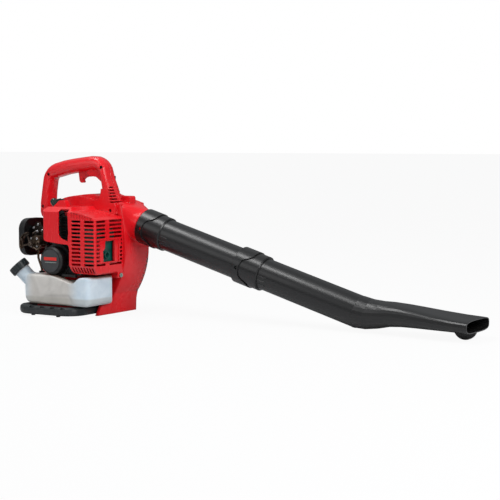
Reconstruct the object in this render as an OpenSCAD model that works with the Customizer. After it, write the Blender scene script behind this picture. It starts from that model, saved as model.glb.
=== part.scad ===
// Handheld petrol leaf blower: a two-stroke engine on the side of a snail-shaped
// fan casing, with a top handle, a blow-moulded tank, a tubular skid and a
// two-piece bayonet blower tube that ends in a flat nozzle.
// +X is the way the air leaves, +Z is up, and the engine is on the -Y side.
// The origin is on the ground under the crank axis, in the fan's mid-plane.

/* [Crank and fan] */
// Height of the crank axis above the ground
crank_z = 124; // [122:0.5:130]
// Radius of the fan wheel
fan_r = 98; // [90:1:101]
// Number of fan blades
fan_blades = 12; // [8:1:16]
// Radius of the casing round its front, bottom and rear
case_r = 117; // [114:0.5:118]
// How much the casing has grown where it reaches the top
case_growth = 25; // [18:1:30]
// Half of the width of the casing
case_half_w = 44; // [42:0.5:48]
// Wall thickness of the casing
case_wall = 3; // [2.4:0.1:4]
// Radius of the air intake in the far wall
intake_r = 62; // [50:1:70]

/* [Air duct and tubes] */
// Slope of the air duct and the tubes below level, in degrees
duct_drop = 16.4; // [14:0.1:18]
// How far in front of the crank axis the duct's round end begins
duct_x = 150; // [146:1:158]
// Height of the duct's axis there
duct_z = 199; // [194:0.5:204]
// Outer radius of the duct's spigot and of the first tube
tube_r = 34.8; // [32:0.1:36]
// Wall thickness of the tubes
tube_wall = 2.2; // [1.8:0.1:3]
// Radial gap between a spigot and the socket over it
socket_gap = 0.4; // [0.3:0.05:0.8]
// Wall thickness of a bayonet socket
socket_wall = 2.8; // [2.4:0.1:3.6]
// Length of a bayonet socket
socket_len = 63; // [56:1:72]
// Distance along the axis from one socket's start to the next
socket_pitch = 264; // [230:1:280]
// Radius of the round stretch of the nozzle
nozzle_r = 34; // [31:0.1:35]
// How far in front of the crank axis the nozzle's mouth is
mouth_x = 951; // [900:1:980]
// Width of the nozzle's mouth
mouth_w = 116; // [96:1:124]
// Height of the nozzle's mouth at its middle
mouth_h = 27; // [22:0.5:32]

/* [Foot and skid] */
// How far in front of the crank axis the foot plate is
foot_x = 85; // [80:0.5:90]
// Half of the thickness of the skid's tube
skid_r = 10; // [8:0.5:11]
// Distance from the fan's mid-plane to the middle of the skid's long run
skid_y = 154; // [150:1:158]
// Height of the rubber pads under the skid
pad_h = 3; // [2:0.5:4]

/* [Engine] */
// Bore of the cylinder
bore_d = 34; // [30:0.5:36]
// Distance from the fan's mid-plane to the cylinder's axis
cylinder_y = 88; // [86:0.5:92]
// Stroke of the piston
stroke = 28; // [24:1:30]
// Number of cooling fins
fin_count = 8; // [5:1:9]
// Radius of the starter's cup
starter_r = 31; // [28:0.5:33]
// Distance from the fan's mid-plane to the starter's face
starter_y = 150; // [146:1:154]

/* [Engine cover] */
// Distance from the fan's mid-plane to the cover's outer face
cover_y = 146; // [142:1:149]
// How far in front of the crank axis the cover's front face is
cover_x = 121; // [118:0.5:123]
// Height of the bottom of the cover's louvred block
cover_low = 97; // [95:0.5:101]
// Height of the top of the cover
cover_top = 243; // [240:0.5:245]
// Wall thickness of the cover
cover_wall = 2.6; // [2:0.1:3.4]
// Rows of louvres on the outer face
louvre_rows = 12; // [8:1:13]
// Height of one louvre slot
louvre_h = 4.8; // [3:0.1:5.2]

/* [Fuel tank] */
// Radius of the scoop in the tank's top, round the crank axis
tank_scoop_r = 56; // [52:0.5:60]
// Distance from the fan's mid-plane to the tank's outer face
tank_y = 151; // [146:1:154]
// Height of the tank's top
tank_top = 92; // [90:0.5:92.5]
// Radius of the filler neck
neck_r = 17.5; // [16:0.5:18.5]
// Radius of the fuel cap
cap_r = 22; // [20.5:0.5:23]

/* [Handle] */
// Width of the handle across both halves
handle_w = 42; // [38:0.5:46]
// Distance from the fan's mid-plane to the handle's mid-plane
handle_y = 31; // [28:0.5:34]
// Wall thickness of the handle
handle_wall = 3; // [2.4:0.1:4]

/* [Hidden] */

RED = [0.87, 0.11, 0.13];
BLACK = [0.13, 0.13, 0.14];
DARK = [0.19, 0.21, 0.22];
METAL = [0.66, 0.67, 0.68];
STEEL = [0.45, 0.46, 0.48];
CAST = [0.37, 0.33, 0.29];
MILK = [0.86, 0.89, 0.91];
EPS = 0.02;

// Running gap between a part that moves and what it moves in
run_gap = 0.4;

// ---- helpers -------------------------------------------------------------

// A cylinder along +Y from y0
module ycyl(x, y0, z, r, len, r2 = -1, fn = 48) {
    translate([x, y0, z]) rotate([-90, 0, 0])
        cylinder(r1 = r, r2 = r2 < 0 ? r : r2, h = len, $fn = fn);
}

// A cylinder along +X from x0
module xcyl(x0, y, z, r, len, r2 = -1, fn = 48) {
    translate([x0, y, z]) rotate([0, 90, 0])
        cylinder(r1 = r, r2 = r2 < 0 ? r : r2, h = len, $fn = fn);
}

// A cylinder along +Z from z0
module zcyl(x, y, z0, r, len, r2 = -1, fn = 48) {
    translate([x, y, z0])
        cylinder(r1 = r, r2 = r2 < 0 ? r : r2, h = len, $fn = fn);
}

// Extrudes an outline drawn in X and Z from y0 to y0 + len
module side(y0, len) {
    translate([0, y0 + len, 0]) rotate([90, 0, 0]) linear_extrude(len) children();
}

// Extrudes an outline drawn in Y and Z from x0 to x0 + len
module front(x0, len) {
    translate([x0, 0, 0]) rotate([90, 0, 90]) linear_extrude(len) children();
}

// A rectangle with rounded corners, given by its low and high corner
module rrect(a, b, r, fn = 24) {
    translate([a[0] + r, a[1]]) square([b[0] - a[0] - 2 * r, b[1] - a[1]]);
    translate([a[0], a[1] + r]) square([b[0] - a[0], b[1] - a[1] - 2 * r]);
    for (x = [a[0] + r, b[0] - r], y = [a[1] + r, b[1] - r])
        translate([x, y]) circle(r, $fn = fn);
}

// Points of an arc about c from angle a to angle b
function arc(c, r, a, b, n = 12) =
    [for (i = [0:n]) c + r * [cos(a + (b - a) * i / n), sin(a + (b - a) * i / n)]];

// A closed skin over rings of points, all with the same count
module skin(rings) {
    n = len(rings[0]);
    m = len(rings);
    polyhedron(
        points = [for (ring = rings) each ring],
        faces = concat(
            [[for (i = [0:n - 1]) i]],
            [for (j = [0:m - 2], i = [0:n - 1])
                [j * n + i, (j + 1) * n + i, (j + 1) * n + (i + 1) % n]],
            [for (j = [0:m - 2], i = [0:n - 1])
                [j * n + i, (j + 1) * n + (i + 1) % n, j * n + (i + 1) % n]],
            [[for (i = [n - 1:-1:0]) (m - 1) * n + i]]),
        convexity = 8);
}

// A superellipse point at angle a with half sizes u and v; e = 2 is an ellipse
function squircle(a, u, v, e) = [
    u * sign(cos(a)) * pow(abs(cos(a)), 2 / e),
    v * sign(sin(a)) * pow(abs(sin(a)), 2 / e)];

// A round tube swept along points, with rings square to the mean direction
function unit(v) = v / norm(v);
function tangent(p, i) = unit(p[min(i + 1, len(p) - 1)] - p[max(i - 1, 0)]);
function cord_ring(p, i, r, sides, up) =
    let (t = tangent(p, i), u = unit(cross(t, up)), v = cross(t, u))
    [for (k = [0:sides - 1]) p[i] - r * (u * cos(360 * k / sides) + v * sin(360 * k / sides))];
module cord(p, r, sides = 8, up = [0.13, 0.31, 0.94]) {
    skin([for (i = [0:len(p) - 1]) cord_ring(p, i, r, sides, up)]);
}

// The frame of the air duct: its Z runs along the tubes' axis
module along_duct(s = 0) {
    translate([duct_x, 0, duct_z]) rotate([0, 90 + duct_drop, 0]) translate([0, 0, s])
        children();
}

// A washer-head screw whose head rests at the origin and whose shank runs down
module screw(shank_r, shank_len, head_r, head_h) {
    difference() {
        union() {
            cylinder(r = head_r, h = head_h, $fn = 24);
            translate([0, 0, -shank_len]) cylinder(r = shank_r, h = shank_len + EPS, $fn = 24);
        }
        translate([0, 0, head_h * 0.4]) cylinder(r = head_r * 0.45, h = head_h, $fn = 6);
    }
}

// ---- fan casing ----------------------------------------------------------

// Radius of the casing at an angle from +X: even round the front, bottom and
// rear, growing over the top until it meets the duct's upper line
function case_radius(a) =
    a < 90 ? case_r + case_growth + (90 - a) * 0.55
    : a < 190 ? case_r + case_growth * pow(cos((a - 90) * 0.9), 2)
    : case_r;
duct_slope = tan(duct_drop);
spigot_bore_r = tube_r - tube_wall;
front_c = [-49, crank_z + 24];
front_r = 177;

function case_outline(inset) = concat(
    [for (a = [74:6:302]) [0, crank_z] + (case_radius(a) - inset) * [cos(a), sin(a)]],
    arc(front_c, front_r - inset, -36, 4, 10),
    [[126 - inset, duct_z - 12], [120 - inset, duct_z + 16], [shoulder_x, duct_line(shoulder_x, 1) - inset]]);

// Height of the duct's upper (+1) or lower (-1) line at x
shoulder_r = tube_r + 2;
shoulder_x = 114;
function duct_line(x, s) =
    duct_z + s * shoulder_r / cos(duct_drop) - (x - duct_x) * duct_slope;

// Blend from the flat casing to the round duct: rings square to the duct's axis,
// whose half sizes and squareness fall off towards the round end
shoulder_len = 62;
function shoulder_ring(i, n) =
    let (u = i / n, soft = u * u * (3 - 2 * u), s = -shoulder_len * (1 - u))
    [for (k = [0:31]) let (q = squircle(360 * k / 32, shoulder_r + 1.6 * (1 - soft),
            case_half_w + (shoulder_r - case_half_w) * soft, 2 + 5 * pow(1 - soft, 1.4)))
        [duct_x + s * cos(duct_drop) + q[0] * sin(duct_drop), q[1],
            duct_z - s * sin(duct_drop) + q[0] * cos(duct_drop)]];
module duct_shoulder() {
    n = 9;
    skin([for (i = [n:-1:0]) shoulder_ring(i, n)]);
}

bayonet_s = 14;
pin_r = 3;
module bayonet_pins(s) {
    along_duct(s) for (a = [90, -90]) rotate([0, 0, a]) rotate([0, 90, 0])
        translate([0, 0, tube_r - 1]) cylinder(r = pin_r, h = 3.6, $fn = 24);
}

socket_r = tube_r + socket_gap + socket_wall;
spigot_len = socket_len - 12;

base_low = 17;
base_high = 25;
tray_x0 = -60;
tray_x1 = 52;
tray_y = 134;
foot_t = 8;
foot_out = 90;
foot_far = 52;
// Places of the screws round the casing's rim
rim = 7.5;
case_screw_at = concat(
    [for (a = [98:40:298]) [0, crank_z] + (case_radius(a) - rim) * [cos(a), sin(a)]],
    [for (a = [-30, -6]) front_c + (front_r - rim) * [cos(a), sin(a)]]);

// The foot plate from the front: it flares out of the casing's near side low down
module foot_outline() {
    polygon(concat(
        [[-case_half_w, 130]],
        arc([-case_half_w - 22, 47], 22, 0, -90, 10),
        [[-foot_out + 8, base_high - 2], [-foot_out, 0], [foot_far, 0], [case_half_w, 34],
            [case_half_w, 130]]));
}
// The foot plate from the side: a band that carries on the casing's front
module foot_band() {
    polygon(concat(
        [[foot_x - foot_t, 0], [foot_x, 0]],
        arc(front_c, front_r, -36, -8, 8),
        arc(front_c, front_r - foot_t, -8, -36, 8)));
}

engine_y = -case_half_w;

module volute_case() {
    color(RED) difference() {
        union() {
            side(engine_y, 2 * case_half_w - 6) polygon(case_outline(0));
            duct_shoulder();
            along_duct(-EPS) cylinder(r = tube_r, h = spigot_len, $fn = 96);
            bayonet_pins(bayonet_s);
            // Clamp block on top of the duct
            translate([84, -9.6, duct_z + 44]) cube([26, 21.6, 22]);
            ycyl(110, -9.6, duct_z + 61, 5, 21.6, fn = 32);
            translate([105, -9.6, duct_z + 30]) cube([10, 21.6, 31]);
            // Foot plate under the front, drawn up into the casing's wall
            difference() {
                union() {
                    intersection() {
                        front(foot_x - foot_t - 1, 60) foot_outline();
                        side(-foot_out, foot_out + case_half_w + foot_t) foot_band();
                    }
                    side(-case_half_w, 2 * case_half_w)
                        polygon([[30, 0], [foot_x, 0], front_c + front_r * [cos(-35), sin(-35)],
                            [80, 60], [30, 40]]);
                }
                side(case_half_w - 6, 10) polygon(case_outline(0));
            }
            // Belly foot under the crank axis
            translate([-24, -case_half_w, 0]) cube([56, 2 * case_half_w - 6, 16]);
            // Tray under the tank, with its corners inside the skid's bends
            translate([0, 0, base_low]) linear_extrude(base_high - base_low)
                rrect([tray_x0, -tray_y], [tray_x1, engine_y + 6], 14);
            translate([tray_x1 - 15, -66, base_low])
                cube([foot_x - foot_t - tray_x1 + 16, 28, base_high - base_low]);
            // Lug for the engine cover
            translate([cover_x - 25, -59.5, cover_low - 13]) cube([19.8, 19.5, 13]);
        }
        // Scroll: the air's way round the fan
        difference() {
            side(engine_y + case_wall, 2 * case_half_w)
                polygon(case_outline(case_wall));
            // Screw pillars stand inside the rim
            for (p = case_screw_at) ycyl(p[0], engine_y, p[1], 5.5, 2 * case_half_w - 6, fn = 24);
        }
        along_duct(-60) cylinder(r = spigot_bore_r, h = spigot_len + 62, $fn = 64);
        // Screw holes
        for (p = case_screw_at) ycyl(p[0], 10, p[1], 2, 40, fn = 24);
        // Opening for the crankshaft and the flywheel's hub
        ycyl(0, engine_y - 1, crank_z, 30, case_wall + 2);
        // Holes for the cover's screw and the handle's front screw
        xcyl(cover_x - 15, -54, cover_low - 6.5, 2, 14, fn = 24);
        ycyl(handle_screw_at[3][0], engine_y - 1, handle_screw_at[3][1], 1.9, 30, fn = 24);
        // Holes for the skid's screws
        for (p = skid_screw_at) zcyl(p[0], p[1], base_low - 1, 2.4, 12, fn = 24);
    }
}

module volute_cover() {
    color(RED) difference() {
        union() {
            difference() {
                side(case_half_w - 6, 6) polygon(case_outline(0));
                duct_shoulder();
            }
            ycyl(0, case_half_w - EPS, crank_z, intake_r + 8, 4, fn = 72);
        }
        ycyl(0, case_half_w - 8, crank_z, intake_r, 16, fn = 72);
        for (p = case_screw_at) ycyl(p[0], case_half_w - 8, p[1], 2.3, 10, fn = 24);
        for (a = [45:90:315])
            ycyl((intake_r + 4) * cos(a), case_half_w - 8, crank_z + (intake_r + 4) * sin(a),
                1.6, 16, fn = 24);
    }
}

guard_t = 5;
module intake_guard() {
    y0 = case_half_w + 4;
    color(BLACK) {
        difference() {
            ycyl(0, y0, crank_z, intake_r + 8, guard_t, fn = 72);
            ycyl(0, y0 - 1, crank_z, intake_r - 2, guard_t + 2, fn = 72);
            for (a = [45:90:315])
                ycyl((intake_r + 4) * cos(a), y0 - 1, crank_z + (intake_r + 4) * sin(a), 1.8,
                    guard_t + 2, fn = 24);
        }
        intersection() {
            ycyl(0, y0, crank_z, intake_r, guard_t, fn = 72);
            union() {
                for (i = [0:7])
                    translate([0, y0, crank_z]) rotate([0, i * 22.5, 0])
                        translate([-intake_r, 0, -1.1]) cube([2 * intake_r, guard_t - 1, 2.2]);
                for (r = [18:14:intake_r - 2]) difference() {
                    ycyl(0, y0, crank_z, r + 1.2, guard_t);
                    ycyl(0, y0 - 1, crank_z, r - 1.2, guard_t + 2);
                }
            }
        }
        ycyl(0, y0, crank_z, 11, guard_t);
    }
}

module guard_screws() {
    color(STEEL) for (a = [45:90:315])
        translate([(intake_r + 4) * cos(a), case_half_w + 4 + guard_t,
            crank_z + (intake_r + 4) * sin(a)])
            rotate([-90, 0, 0]) screw(1.6, 12, 3.4, 2);
}

module case_screws() {
    color(STEEL) for (p = case_screw_at)
        translate([p[0], case_half_w, p[1]]) rotate([-90, 0, 0]) screw(2, 22, 4, 3);
}

// ---- rotor ---------------------------------------------------------------

fan_back_y = -30;
fan_front_y = 34;
shaft_r = 6;
hub_r = 15;

// One blade: a backward-curved strip between hub and rim
module blade_outline() {
    polygon(concat(
        arc([52, 46], 49, 212, 270, 8),
        [[fan_r - 2, 6], [fan_r - 2, 3.6]],
        [for (p = arc([52, 46], 51.4, 270, 212, 8)) p]));
}

module fan_impeller() {
    color(DARK) difference() {
        union() {
            ycyl(0, fan_back_y, crank_z, fan_r, 2.4, fn = 96);
            ycyl(0, fan_back_y, crank_z, hub_r, 26);
            ycyl(0, fan_back_y + 2, crank_z, 34, 8, r2 = hub_r);
            intersection() {
                translate([0, 0, crank_z]) side(fan_back_y + 2, fan_front_y - fan_back_y - 2)
                    for (i = [0:fan_blades - 1]) rotate(i * 360 / fan_blades) blade_outline();
                // Blades fall away towards the eye of the fan
                translate([0, fan_back_y, crank_z]) rotate([-90, 0, 0]) rotate_extrude($fn = 96)
                    polygon([[hub_r - 2, 0], [fan_r, 0], [fan_r, 46], [intake_r - 4, 64],
                        [46, 60], [hub_r - 2, 22]]);
            }
        }
        ycyl(0, fan_back_y - 1, crank_z, shaft_r, 60);
    }
}

fan_nut_h = 6;
module fan_nut() {
    color(METAL) difference() {
        ycyl(0, fan_back_y + 26, crank_z, 9, fan_nut_h, fn = 6);
        ycyl(0, fan_back_y + 25, crank_z, shaft_r - 1, fan_nut_h + 2);
    }
}

flywheel_y = -58;
flywheel_r = 40;
module flywheel() {
    color(METAL) difference() {
        union() {
            ycyl(0, flywheel_y, crank_z, flywheel_r - 8, 5, fn = 72);
            ycyl(0, flywheel_y, crank_z, 20, 12);
            difference() {
                ycyl(0, flywheel_y, crank_z, flywheel_r, 11, fn = 72);
                ycyl(0, flywheel_y - 1, crank_z, flywheel_r - 8, 13, fn = 72);
            }
            ycyl(0, flywheel_y + 11.9, crank_z, 24, fan_back_y - flywheel_y - 11.9);
        }
        ycyl(0, flywheel_y - 1, crank_z, shaft_r, 40);
        // Recesses between the magnets
        for (a = [60:60:300])
            ycyl(flywheel_r * cos(a), flywheel_y - 1, crank_z + flywheel_r * sin(a), 4, 13,
                fn = 24);
    }
}

dog_y = -starter_y + 31;
web_r = 22;
web_t = 7;
rod_w = 8;
throw = stroke / 2;
module crankshaft() {
    web_a = -cylinder_y - rod_w / 2 - run_gap - web_t;
    web_b = -cylinder_y + rod_w / 2 + run_gap;
    color(STEEL) {
        // Fan end, tapered to a threaded nose for the nut
        ycyl(0, web_b + web_t - EPS, crank_z, shaft_r, fan_back_y + 26 - web_b - web_t);
        ycyl(0, fan_back_y + 26 - EPS, crank_z, shaft_r - 1, fan_nut_h + 3);
        // Starter end with its ratchet dog
        ycyl(0, dog_y, crank_z, shaft_r, web_a - dog_y + EPS);
        for (y = [web_a, web_b]) difference() {
            ycyl(0, y, crank_z, web_r, web_t);
            // Counterweight: metal is taken off beside the crankpin
            for (s = [-1, 1]) ycyl(s * 17, y - 1, crank_z + 12, 6, web_t + 2, fn = 24);
        }
    }
}

rod_len = 52;
pin_z = crank_z + throw;
module connecting_rod() {
    color(STEEL) {
        difference() {
            union() {
                ycyl(0, -cylinder_y - rod_w / 2, pin_z, 9.5, rod_w);
                ycyl(0, -cylinder_y - rod_w / 2, pin_z + rod_len, 7.5, rod_w);
                translate([-3.5, -cylinder_y - 2.5, pin_z]) cube([7, 5, rod_len]);
            }
            ycyl(0, -cylinder_y - 6, pin_z + rod_len, 4.5, 12);
            ycyl(0, -cylinder_y - 6, pin_z, 5, 12);
        }
    }
}

// Crankpin, a hair shorter than the gap between the webs
module crankpin() {
    color(METAL) ycyl(0, -cylinder_y - rod_w / 2, pin_z, 5, rod_w);
}

module piston_pin() {
    color(METAL) difference() {
        ycyl(0, -cylinder_y - bore_d / 2 + 3, pin_z + rod_len, 4.5, bore_d - 6);
        ycyl(0, -cylinder_y - bore_d / 2, pin_z + rod_len, 2.5, bore_d);
    }
}

piston_r = bore_d / 2 - 0.1;
module piston() {
    z0 = pin_z + rod_len - 14;
    color(METAL) difference() {
        zcyl(0, -cylinder_y, z0, piston_r, 30, fn = 64);
        zcyl(0, -cylinder_y, z0 - 1, piston_r - 3, 25, fn = 64);
        ycyl(0, -cylinder_y - bore_d / 2, pin_z + rod_len, 4.5, bore_d);
        for (z = [22, 26]) difference() {
            zcyl(0, -cylinder_y, z0 + z, piston_r + 1, 1.4, fn = 64);
            zcyl(0, -cylinder_y, z0 + z - 1, piston_r - 1.4, 3.4, fn = 64);
        }
    }
}

// ---- engine --------------------------------------------------------------

bearing_w = 9;
bearing_r = 14;
bearing_ys = [-cylinder_y - rod_w / 2 - 2 * run_gap - web_t - bearing_w,
    -cylinder_y + rod_w / 2 + 2 * run_gap + web_t];

module crank_bearings() {
    color(METAL) for (y = bearing_ys) difference() {
        ycyl(0, y, crank_z, bearing_r, bearing_w);
        ycyl(0, y - 1, crank_z, shaft_r + 0.05, bearing_w + 2);
    }
}

seal_w = 4;
seal_ys = [bearing_ys[0] - seal_w, bearing_ys[1] + bearing_w];
module oil_seals() {
    color(BLACK) for (y = seal_ys) difference() {
        ycyl(0, y, crank_z, 11, seal_w);
        ycyl(0, y - 1, crank_z, shaft_r + 0.05, seal_w + 2);
    }
}

crankcase_y0 = seal_ys[0];
crankcase_y1 = seal_ys[1] + seal_w;
deck_z = crank_z + 34;
arm_a = [40, 140, 218, 322];
arm_r = flywheel_r + 7.5;
block_half = 24;
module crankcase() {
    color(METAL) difference() {
        union() {
            ycyl(0, crankcase_y0, crank_z, 31, crankcase_y1 - crankcase_y0, fn = 64);
            translate([-26, -cylinder_y - block_half, crank_z])
                cube([52, 2 * block_half, deck_z - crank_z]);
            // Plate and arms that carry the engine on the casing
            translate([0, 0, crank_z]) side(crankcase_y1 - 9, 5) polygon([[-40, -34], [40, -34],
                [47, -20], [47, 20], [42, deck_z - crank_z - 0.1],
                [-42, deck_z - crank_z - 0.1], [-47, 20], [-47, -20]]);
            for (a = arm_a)
                ycyl(arm_r * cos(a), crankcase_y1 - 9, crank_z + arm_r * sin(a), 5,
                    -case_half_w - crankcase_y1 + 9, fn = 24);
        }
        ycyl(0, -cylinder_y - 15, crank_z, web_r + 2, 30);
        zcyl(0, -cylinder_y, crank_z, bore_d / 2 + 2, 60);
        for (y = bearing_ys) ycyl(0, y, crank_z, bearing_r, bearing_w);
        for (y = seal_ys) ycyl(0, y - 1, crank_z, 11, seal_w + 2);
    }
}

fin_low = deck_z + 9;
fin_step = 7.2;
fin_half_x = 30;
fin_half_y = 25;
head_z = fin_low + fin_step * (fin_count - 1) + 2;
module cylinder_barrel() {
    color(METAL) difference() {
        union() {
            zcyl(0, -cylinder_y, deck_z, bore_d / 2 + 5, head_z - deck_z, fn = 64);
            translate([-26, -cylinder_y - block_half, deck_z]) cube([52, 2 * block_half, 6]);
            for (i = [0:fin_count - 1])
                translate([0, -cylinder_y, fin_low + i * fin_step]) linear_extrude(2)
                    rrect([-fin_half_x, -fin_half_y], [fin_half_x, fin_half_y], 8);
            // Exhaust and inlet ports
            xcyl(16, -cylinder_y, deck_z + 22, 10, 20);
            xcyl(-36, -cylinder_y, deck_z + 14, 10, 20);
        }
        zcyl(0, -cylinder_y, deck_z - 1, bore_d / 2, head_z - deck_z - 6, fn = 64);
        xcyl(14, -cylinder_y, deck_z + 22, 6, 30);
        xcyl(-40, -cylinder_y, deck_z + 14, 6, 26);
        at_plug(-9) cylinder(r = 5, h = 40, $fn = 32);
    }
}

muffler_x = 56;
muffler_front = 108;
port_z = deck_z + 22;
outlet_z = port_z - 42;
module muffler_gasket() {
    color(BLACK) difference() {
        translate([36, -cylinder_y - 15, port_z - 10]) cube([2, 30, 22]);
        xcyl(35, -cylinder_y, port_z, 6, 5);
    }
}

module muffler() {
    color(STEEL) difference() {
        union() {
            side(-cylinder_y - 28, 56)
                rrect([muffler_x, port_z - 64], [muffler_front, port_z + 16], 9);
            xcyl(38, -cylinder_y, port_z, 10, muffler_x - 37);
            translate([38, -cylinder_y - 15, port_z - 10]) cube([3, 30, 22]);
            // Outlet stub with its spark screen
            xcyl(muffler_front - 2, -cylinder_y - 6, outlet_z, 8, 10);
            // Pressed ribs
            for (i = [0:3])
                xcyl(muffler_x + 12, -cylinder_y - 27.4, port_z - 48 + i * 16, 2.2, 34, fn = 24);
        }
        side(-cylinder_y - 26, 52)
            rrect([muffler_x + 2, port_z - 62], [muffler_front - 2, port_z + 14], 7);
        xcyl(37, -cylinder_y, port_z, 6, muffler_x - 30);
        xcyl(muffler_front - 4, -cylinder_y - 6, outlet_z, 6, 14);
    }
}

plug_tilt = -40;
plug_x = -14;
// The spark plug's frame, seated on the cylinder head
module at_plug(s) {
    translate([plug_x, -cylinder_y, head_z + 2]) rotate([0, plug_tilt, 0]) translate([0, 0, s])
        children();
}

module spark_plug() {
    color(METAL) at_plug(0) {
        translate([0, 0, -9]) cylinder(r = 4.9, h = 12, $fn = 32);
        translate([0, 0, 2.6]) cylinder(r = 8, h = 6, $fn = 6);
        translate([0, 0, 8.5]) cylinder(r = 5, h = 14, $fn = 32);
        translate([0, 0, 22.4]) cylinder(r = 2.6, h = 7, $fn = 32);
    }
}

module plug_cap() {
    color(BLACK) at_plug(0) difference() {
        union() {
            translate([0, 0, 12]) cylinder(r = 8.4, h = 28, $fn = 32);
            translate([0, 0, 40]) sphere(r = 8.4, $fn = 32);
            translate([0, 0, 40]) rotate([0, 120, 0]) cylinder(r = 4.6, h = 20, $fn = 32);
        }
        translate([0, 0, 11]) cylinder(r = 5.02, h = 11.5, $fn = 32);
        translate([0, 0, 22]) cylinder(r = 2.62, h = 7.6, $fn = 32);
    }
}

// High-tension lead: from the plug cap over the cover's rear and down to the coil
lead_points = [[-19.8, -88, 255.6], [-15, -88, 256.3], [-10, -87.6, 255.3], [-6.6, -86.4, 251.5],
    [-4.6, -84.4, 245.5], [-3.6, -81, 238.5], [-3.2, -75.5, 232], [-3.2, -68.5, 227],
    [-3.4, -61.5, 221.5], [-3.8, -56.5, 214.5], [-4, -54, 208], [-4, -54, 203]];
module ht_lead() {
    color(BLACK) cord(lead_points, 2.6, 8, [0, 1, 0.05]);
}

coil_at = [-4, -53.5, 207];
module ignition_coil() {
    gap_z = crank_z + flywheel_r + 0.6;
    color(BLACK) difference() {
        union() {
            translate(coil_at + [-13, -7, -28]) cube([26, 14, 28]);
            // Laminated legs that reach down to the flywheel's rim
            for (x = [-20, 10]) translate([coil_at[0] + x, coil_at[1] - 4, gap_z])
                cube([10, 8, coil_at[2] - 16 - gap_z]);
            translate([coil_at[0] - 20, coil_at[1] - 4, coil_at[2] - 24]) cube([40, 8, 8]);
            // Post on the casing
            ycyl(coil_at[0], coil_at[1] + 6, coil_at[2] - 10, 4, engine_y - coil_at[1] - 6,
                fn = 24);
        }
        zcyl(coil_at[0], -54, coil_at[2] - 5, 2.8, 8, fn = 24);
        ycyl(0, flywheel_y - 1, crank_z, flywheel_r + 0.6, 40, fn = 72);
    }
}

// ---- starter -------------------------------------------------------------

starter_back = crankcase_y0 - 0.4;
starter_flange_r = 37;
// The rope leaves the housing beside the cup, low on the front side
rope_x = 42;
rope_z = cover_low - 5;
rope_y = -starter_y + 24;
rope_r = 1.7;
module starter_housing() {
    color(BLACK) difference() {
        union() {
            translate([0, 0, crank_z]) rotate([-90, 0, 0]) rotate_extrude($fn = 72)
                polygon([
                    [0, -starter_y], [starter_r - 4, -starter_y], [starter_r, -starter_y + 4],
                    [starter_r, -starter_y + 24], [starter_flange_r, -starter_y + 24],
                    [starter_flange_r, starter_back], [0, starter_back]
                ]);
            // Rope eyelet and mounting ears
            translate([rope_x - 5, rope_y, rope_z - 4]) cube([10, starter_back - rope_y - 1, 11]);
            translate([27, rope_y + 1, rope_z - 2]) cube([rope_x - 27, starter_back - rope_y - 2, 18]);
            for (a = [60, 150, 210]) translate([0, 0, crank_z]) rotate([0, -a, 0])
                translate([31, -starter_y + 30, -5]) cube([11, starter_y + starter_back - 31, 10]);
        }
        // Drum well, open towards the engine, with the drum's post left standing
        difference() {
            ycyl(0, -starter_y + 6, crank_z, starter_r - 3, starter_y, fn = 72);
            ycyl(0, -starter_y, crank_z, 5, 28);
        }
        // Rope outlet
        ycyl(rope_x, rope_y - 1, rope_z, rope_r + 0.5, 14, fn = 24);
    }
}

module starter_badge() {
    y0 = -starter_y - 0.6;
    color(BLACK) ycyl(0, y0, crank_z, starter_r - 6, 0.6, fn = 72);
    color(RED) translate([-18, y0 - 0.4, crank_z + 1]) cube([36, 0.41, 7]);
    color(METAL) translate([-15, y0 - 0.4, crank_z - 4]) cube([33, 0.41, 1]);
}

pulley_y = -starter_y + 16;
pulley_r = 25;
module starter_pulley() {
    color(METAL) difference() {
        union() {
            ycyl(0, pulley_y, crank_z, pulley_r, 2, fn = 64);
            ycyl(0, pulley_y + 2, crank_z, pulley_r - 6, 5, fn = 64);
            ycyl(0, pulley_y + 7, crank_z, pulley_r, 2, fn = 64);
        }
        ycyl(0, pulley_y - 1, crank_z, 5.06, 20);
    }
    // Pawl that catches the ratchet dog
    color(STEEL) translate([9, pulley_y + 9, crank_z - 2]) cube([9, 3, 5]);
}

// Flat spiral spring, drawn as one strip that winds out from its post
spring_turns = 4;
module recoil_spring() {
    inner_r = 8;
    pitch = 3.4;
    n = 96;
    function spiral(a, r0) = (r0 + pitch * a / 360) * [cos(a), sin(a)];
    color(STEEL) translate([0, 0, crank_z]) side(-starter_y + 7, 9)
        polygon(concat(
            [for (i = [0:n]) spiral(i * 360 * spring_turns / n, inner_r)],
            [for (i = [n:-1:0]) spiral(i * 360 * spring_turns / n, inner_r + 0.8)]));
}

grip_len = 38;
grip_y = rope_y - 9.4;
module starter_rope() {
    color(BLACK) ycyl(rope_x, grip_y - 2, rope_z, rope_r, 18, fn = 24);
}

// Grip: a bar across the rope, waisted at its middle, with a collar that rests
// on the eyelet
module starter_grip() {
    color(BLACK) difference() {
        union() {
            xcyl(rope_x - grip_len / 2, grip_y, rope_z, 4.1, grip_len / 2, r2 = 3.4, fn = 32);
            xcyl(rope_x, grip_y, rope_z, 3.4, grip_len / 2, r2 = 4.1, fn = 32);
            ycyl(rope_x, grip_y, rope_z, 3.6, 9, fn = 32);
        }
        ycyl(rope_x, grip_y - 2, rope_z, rope_r + 0.02, 14, fn = 24);
    }
}

// ---- intake --------------------------------------------------------------

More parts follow.
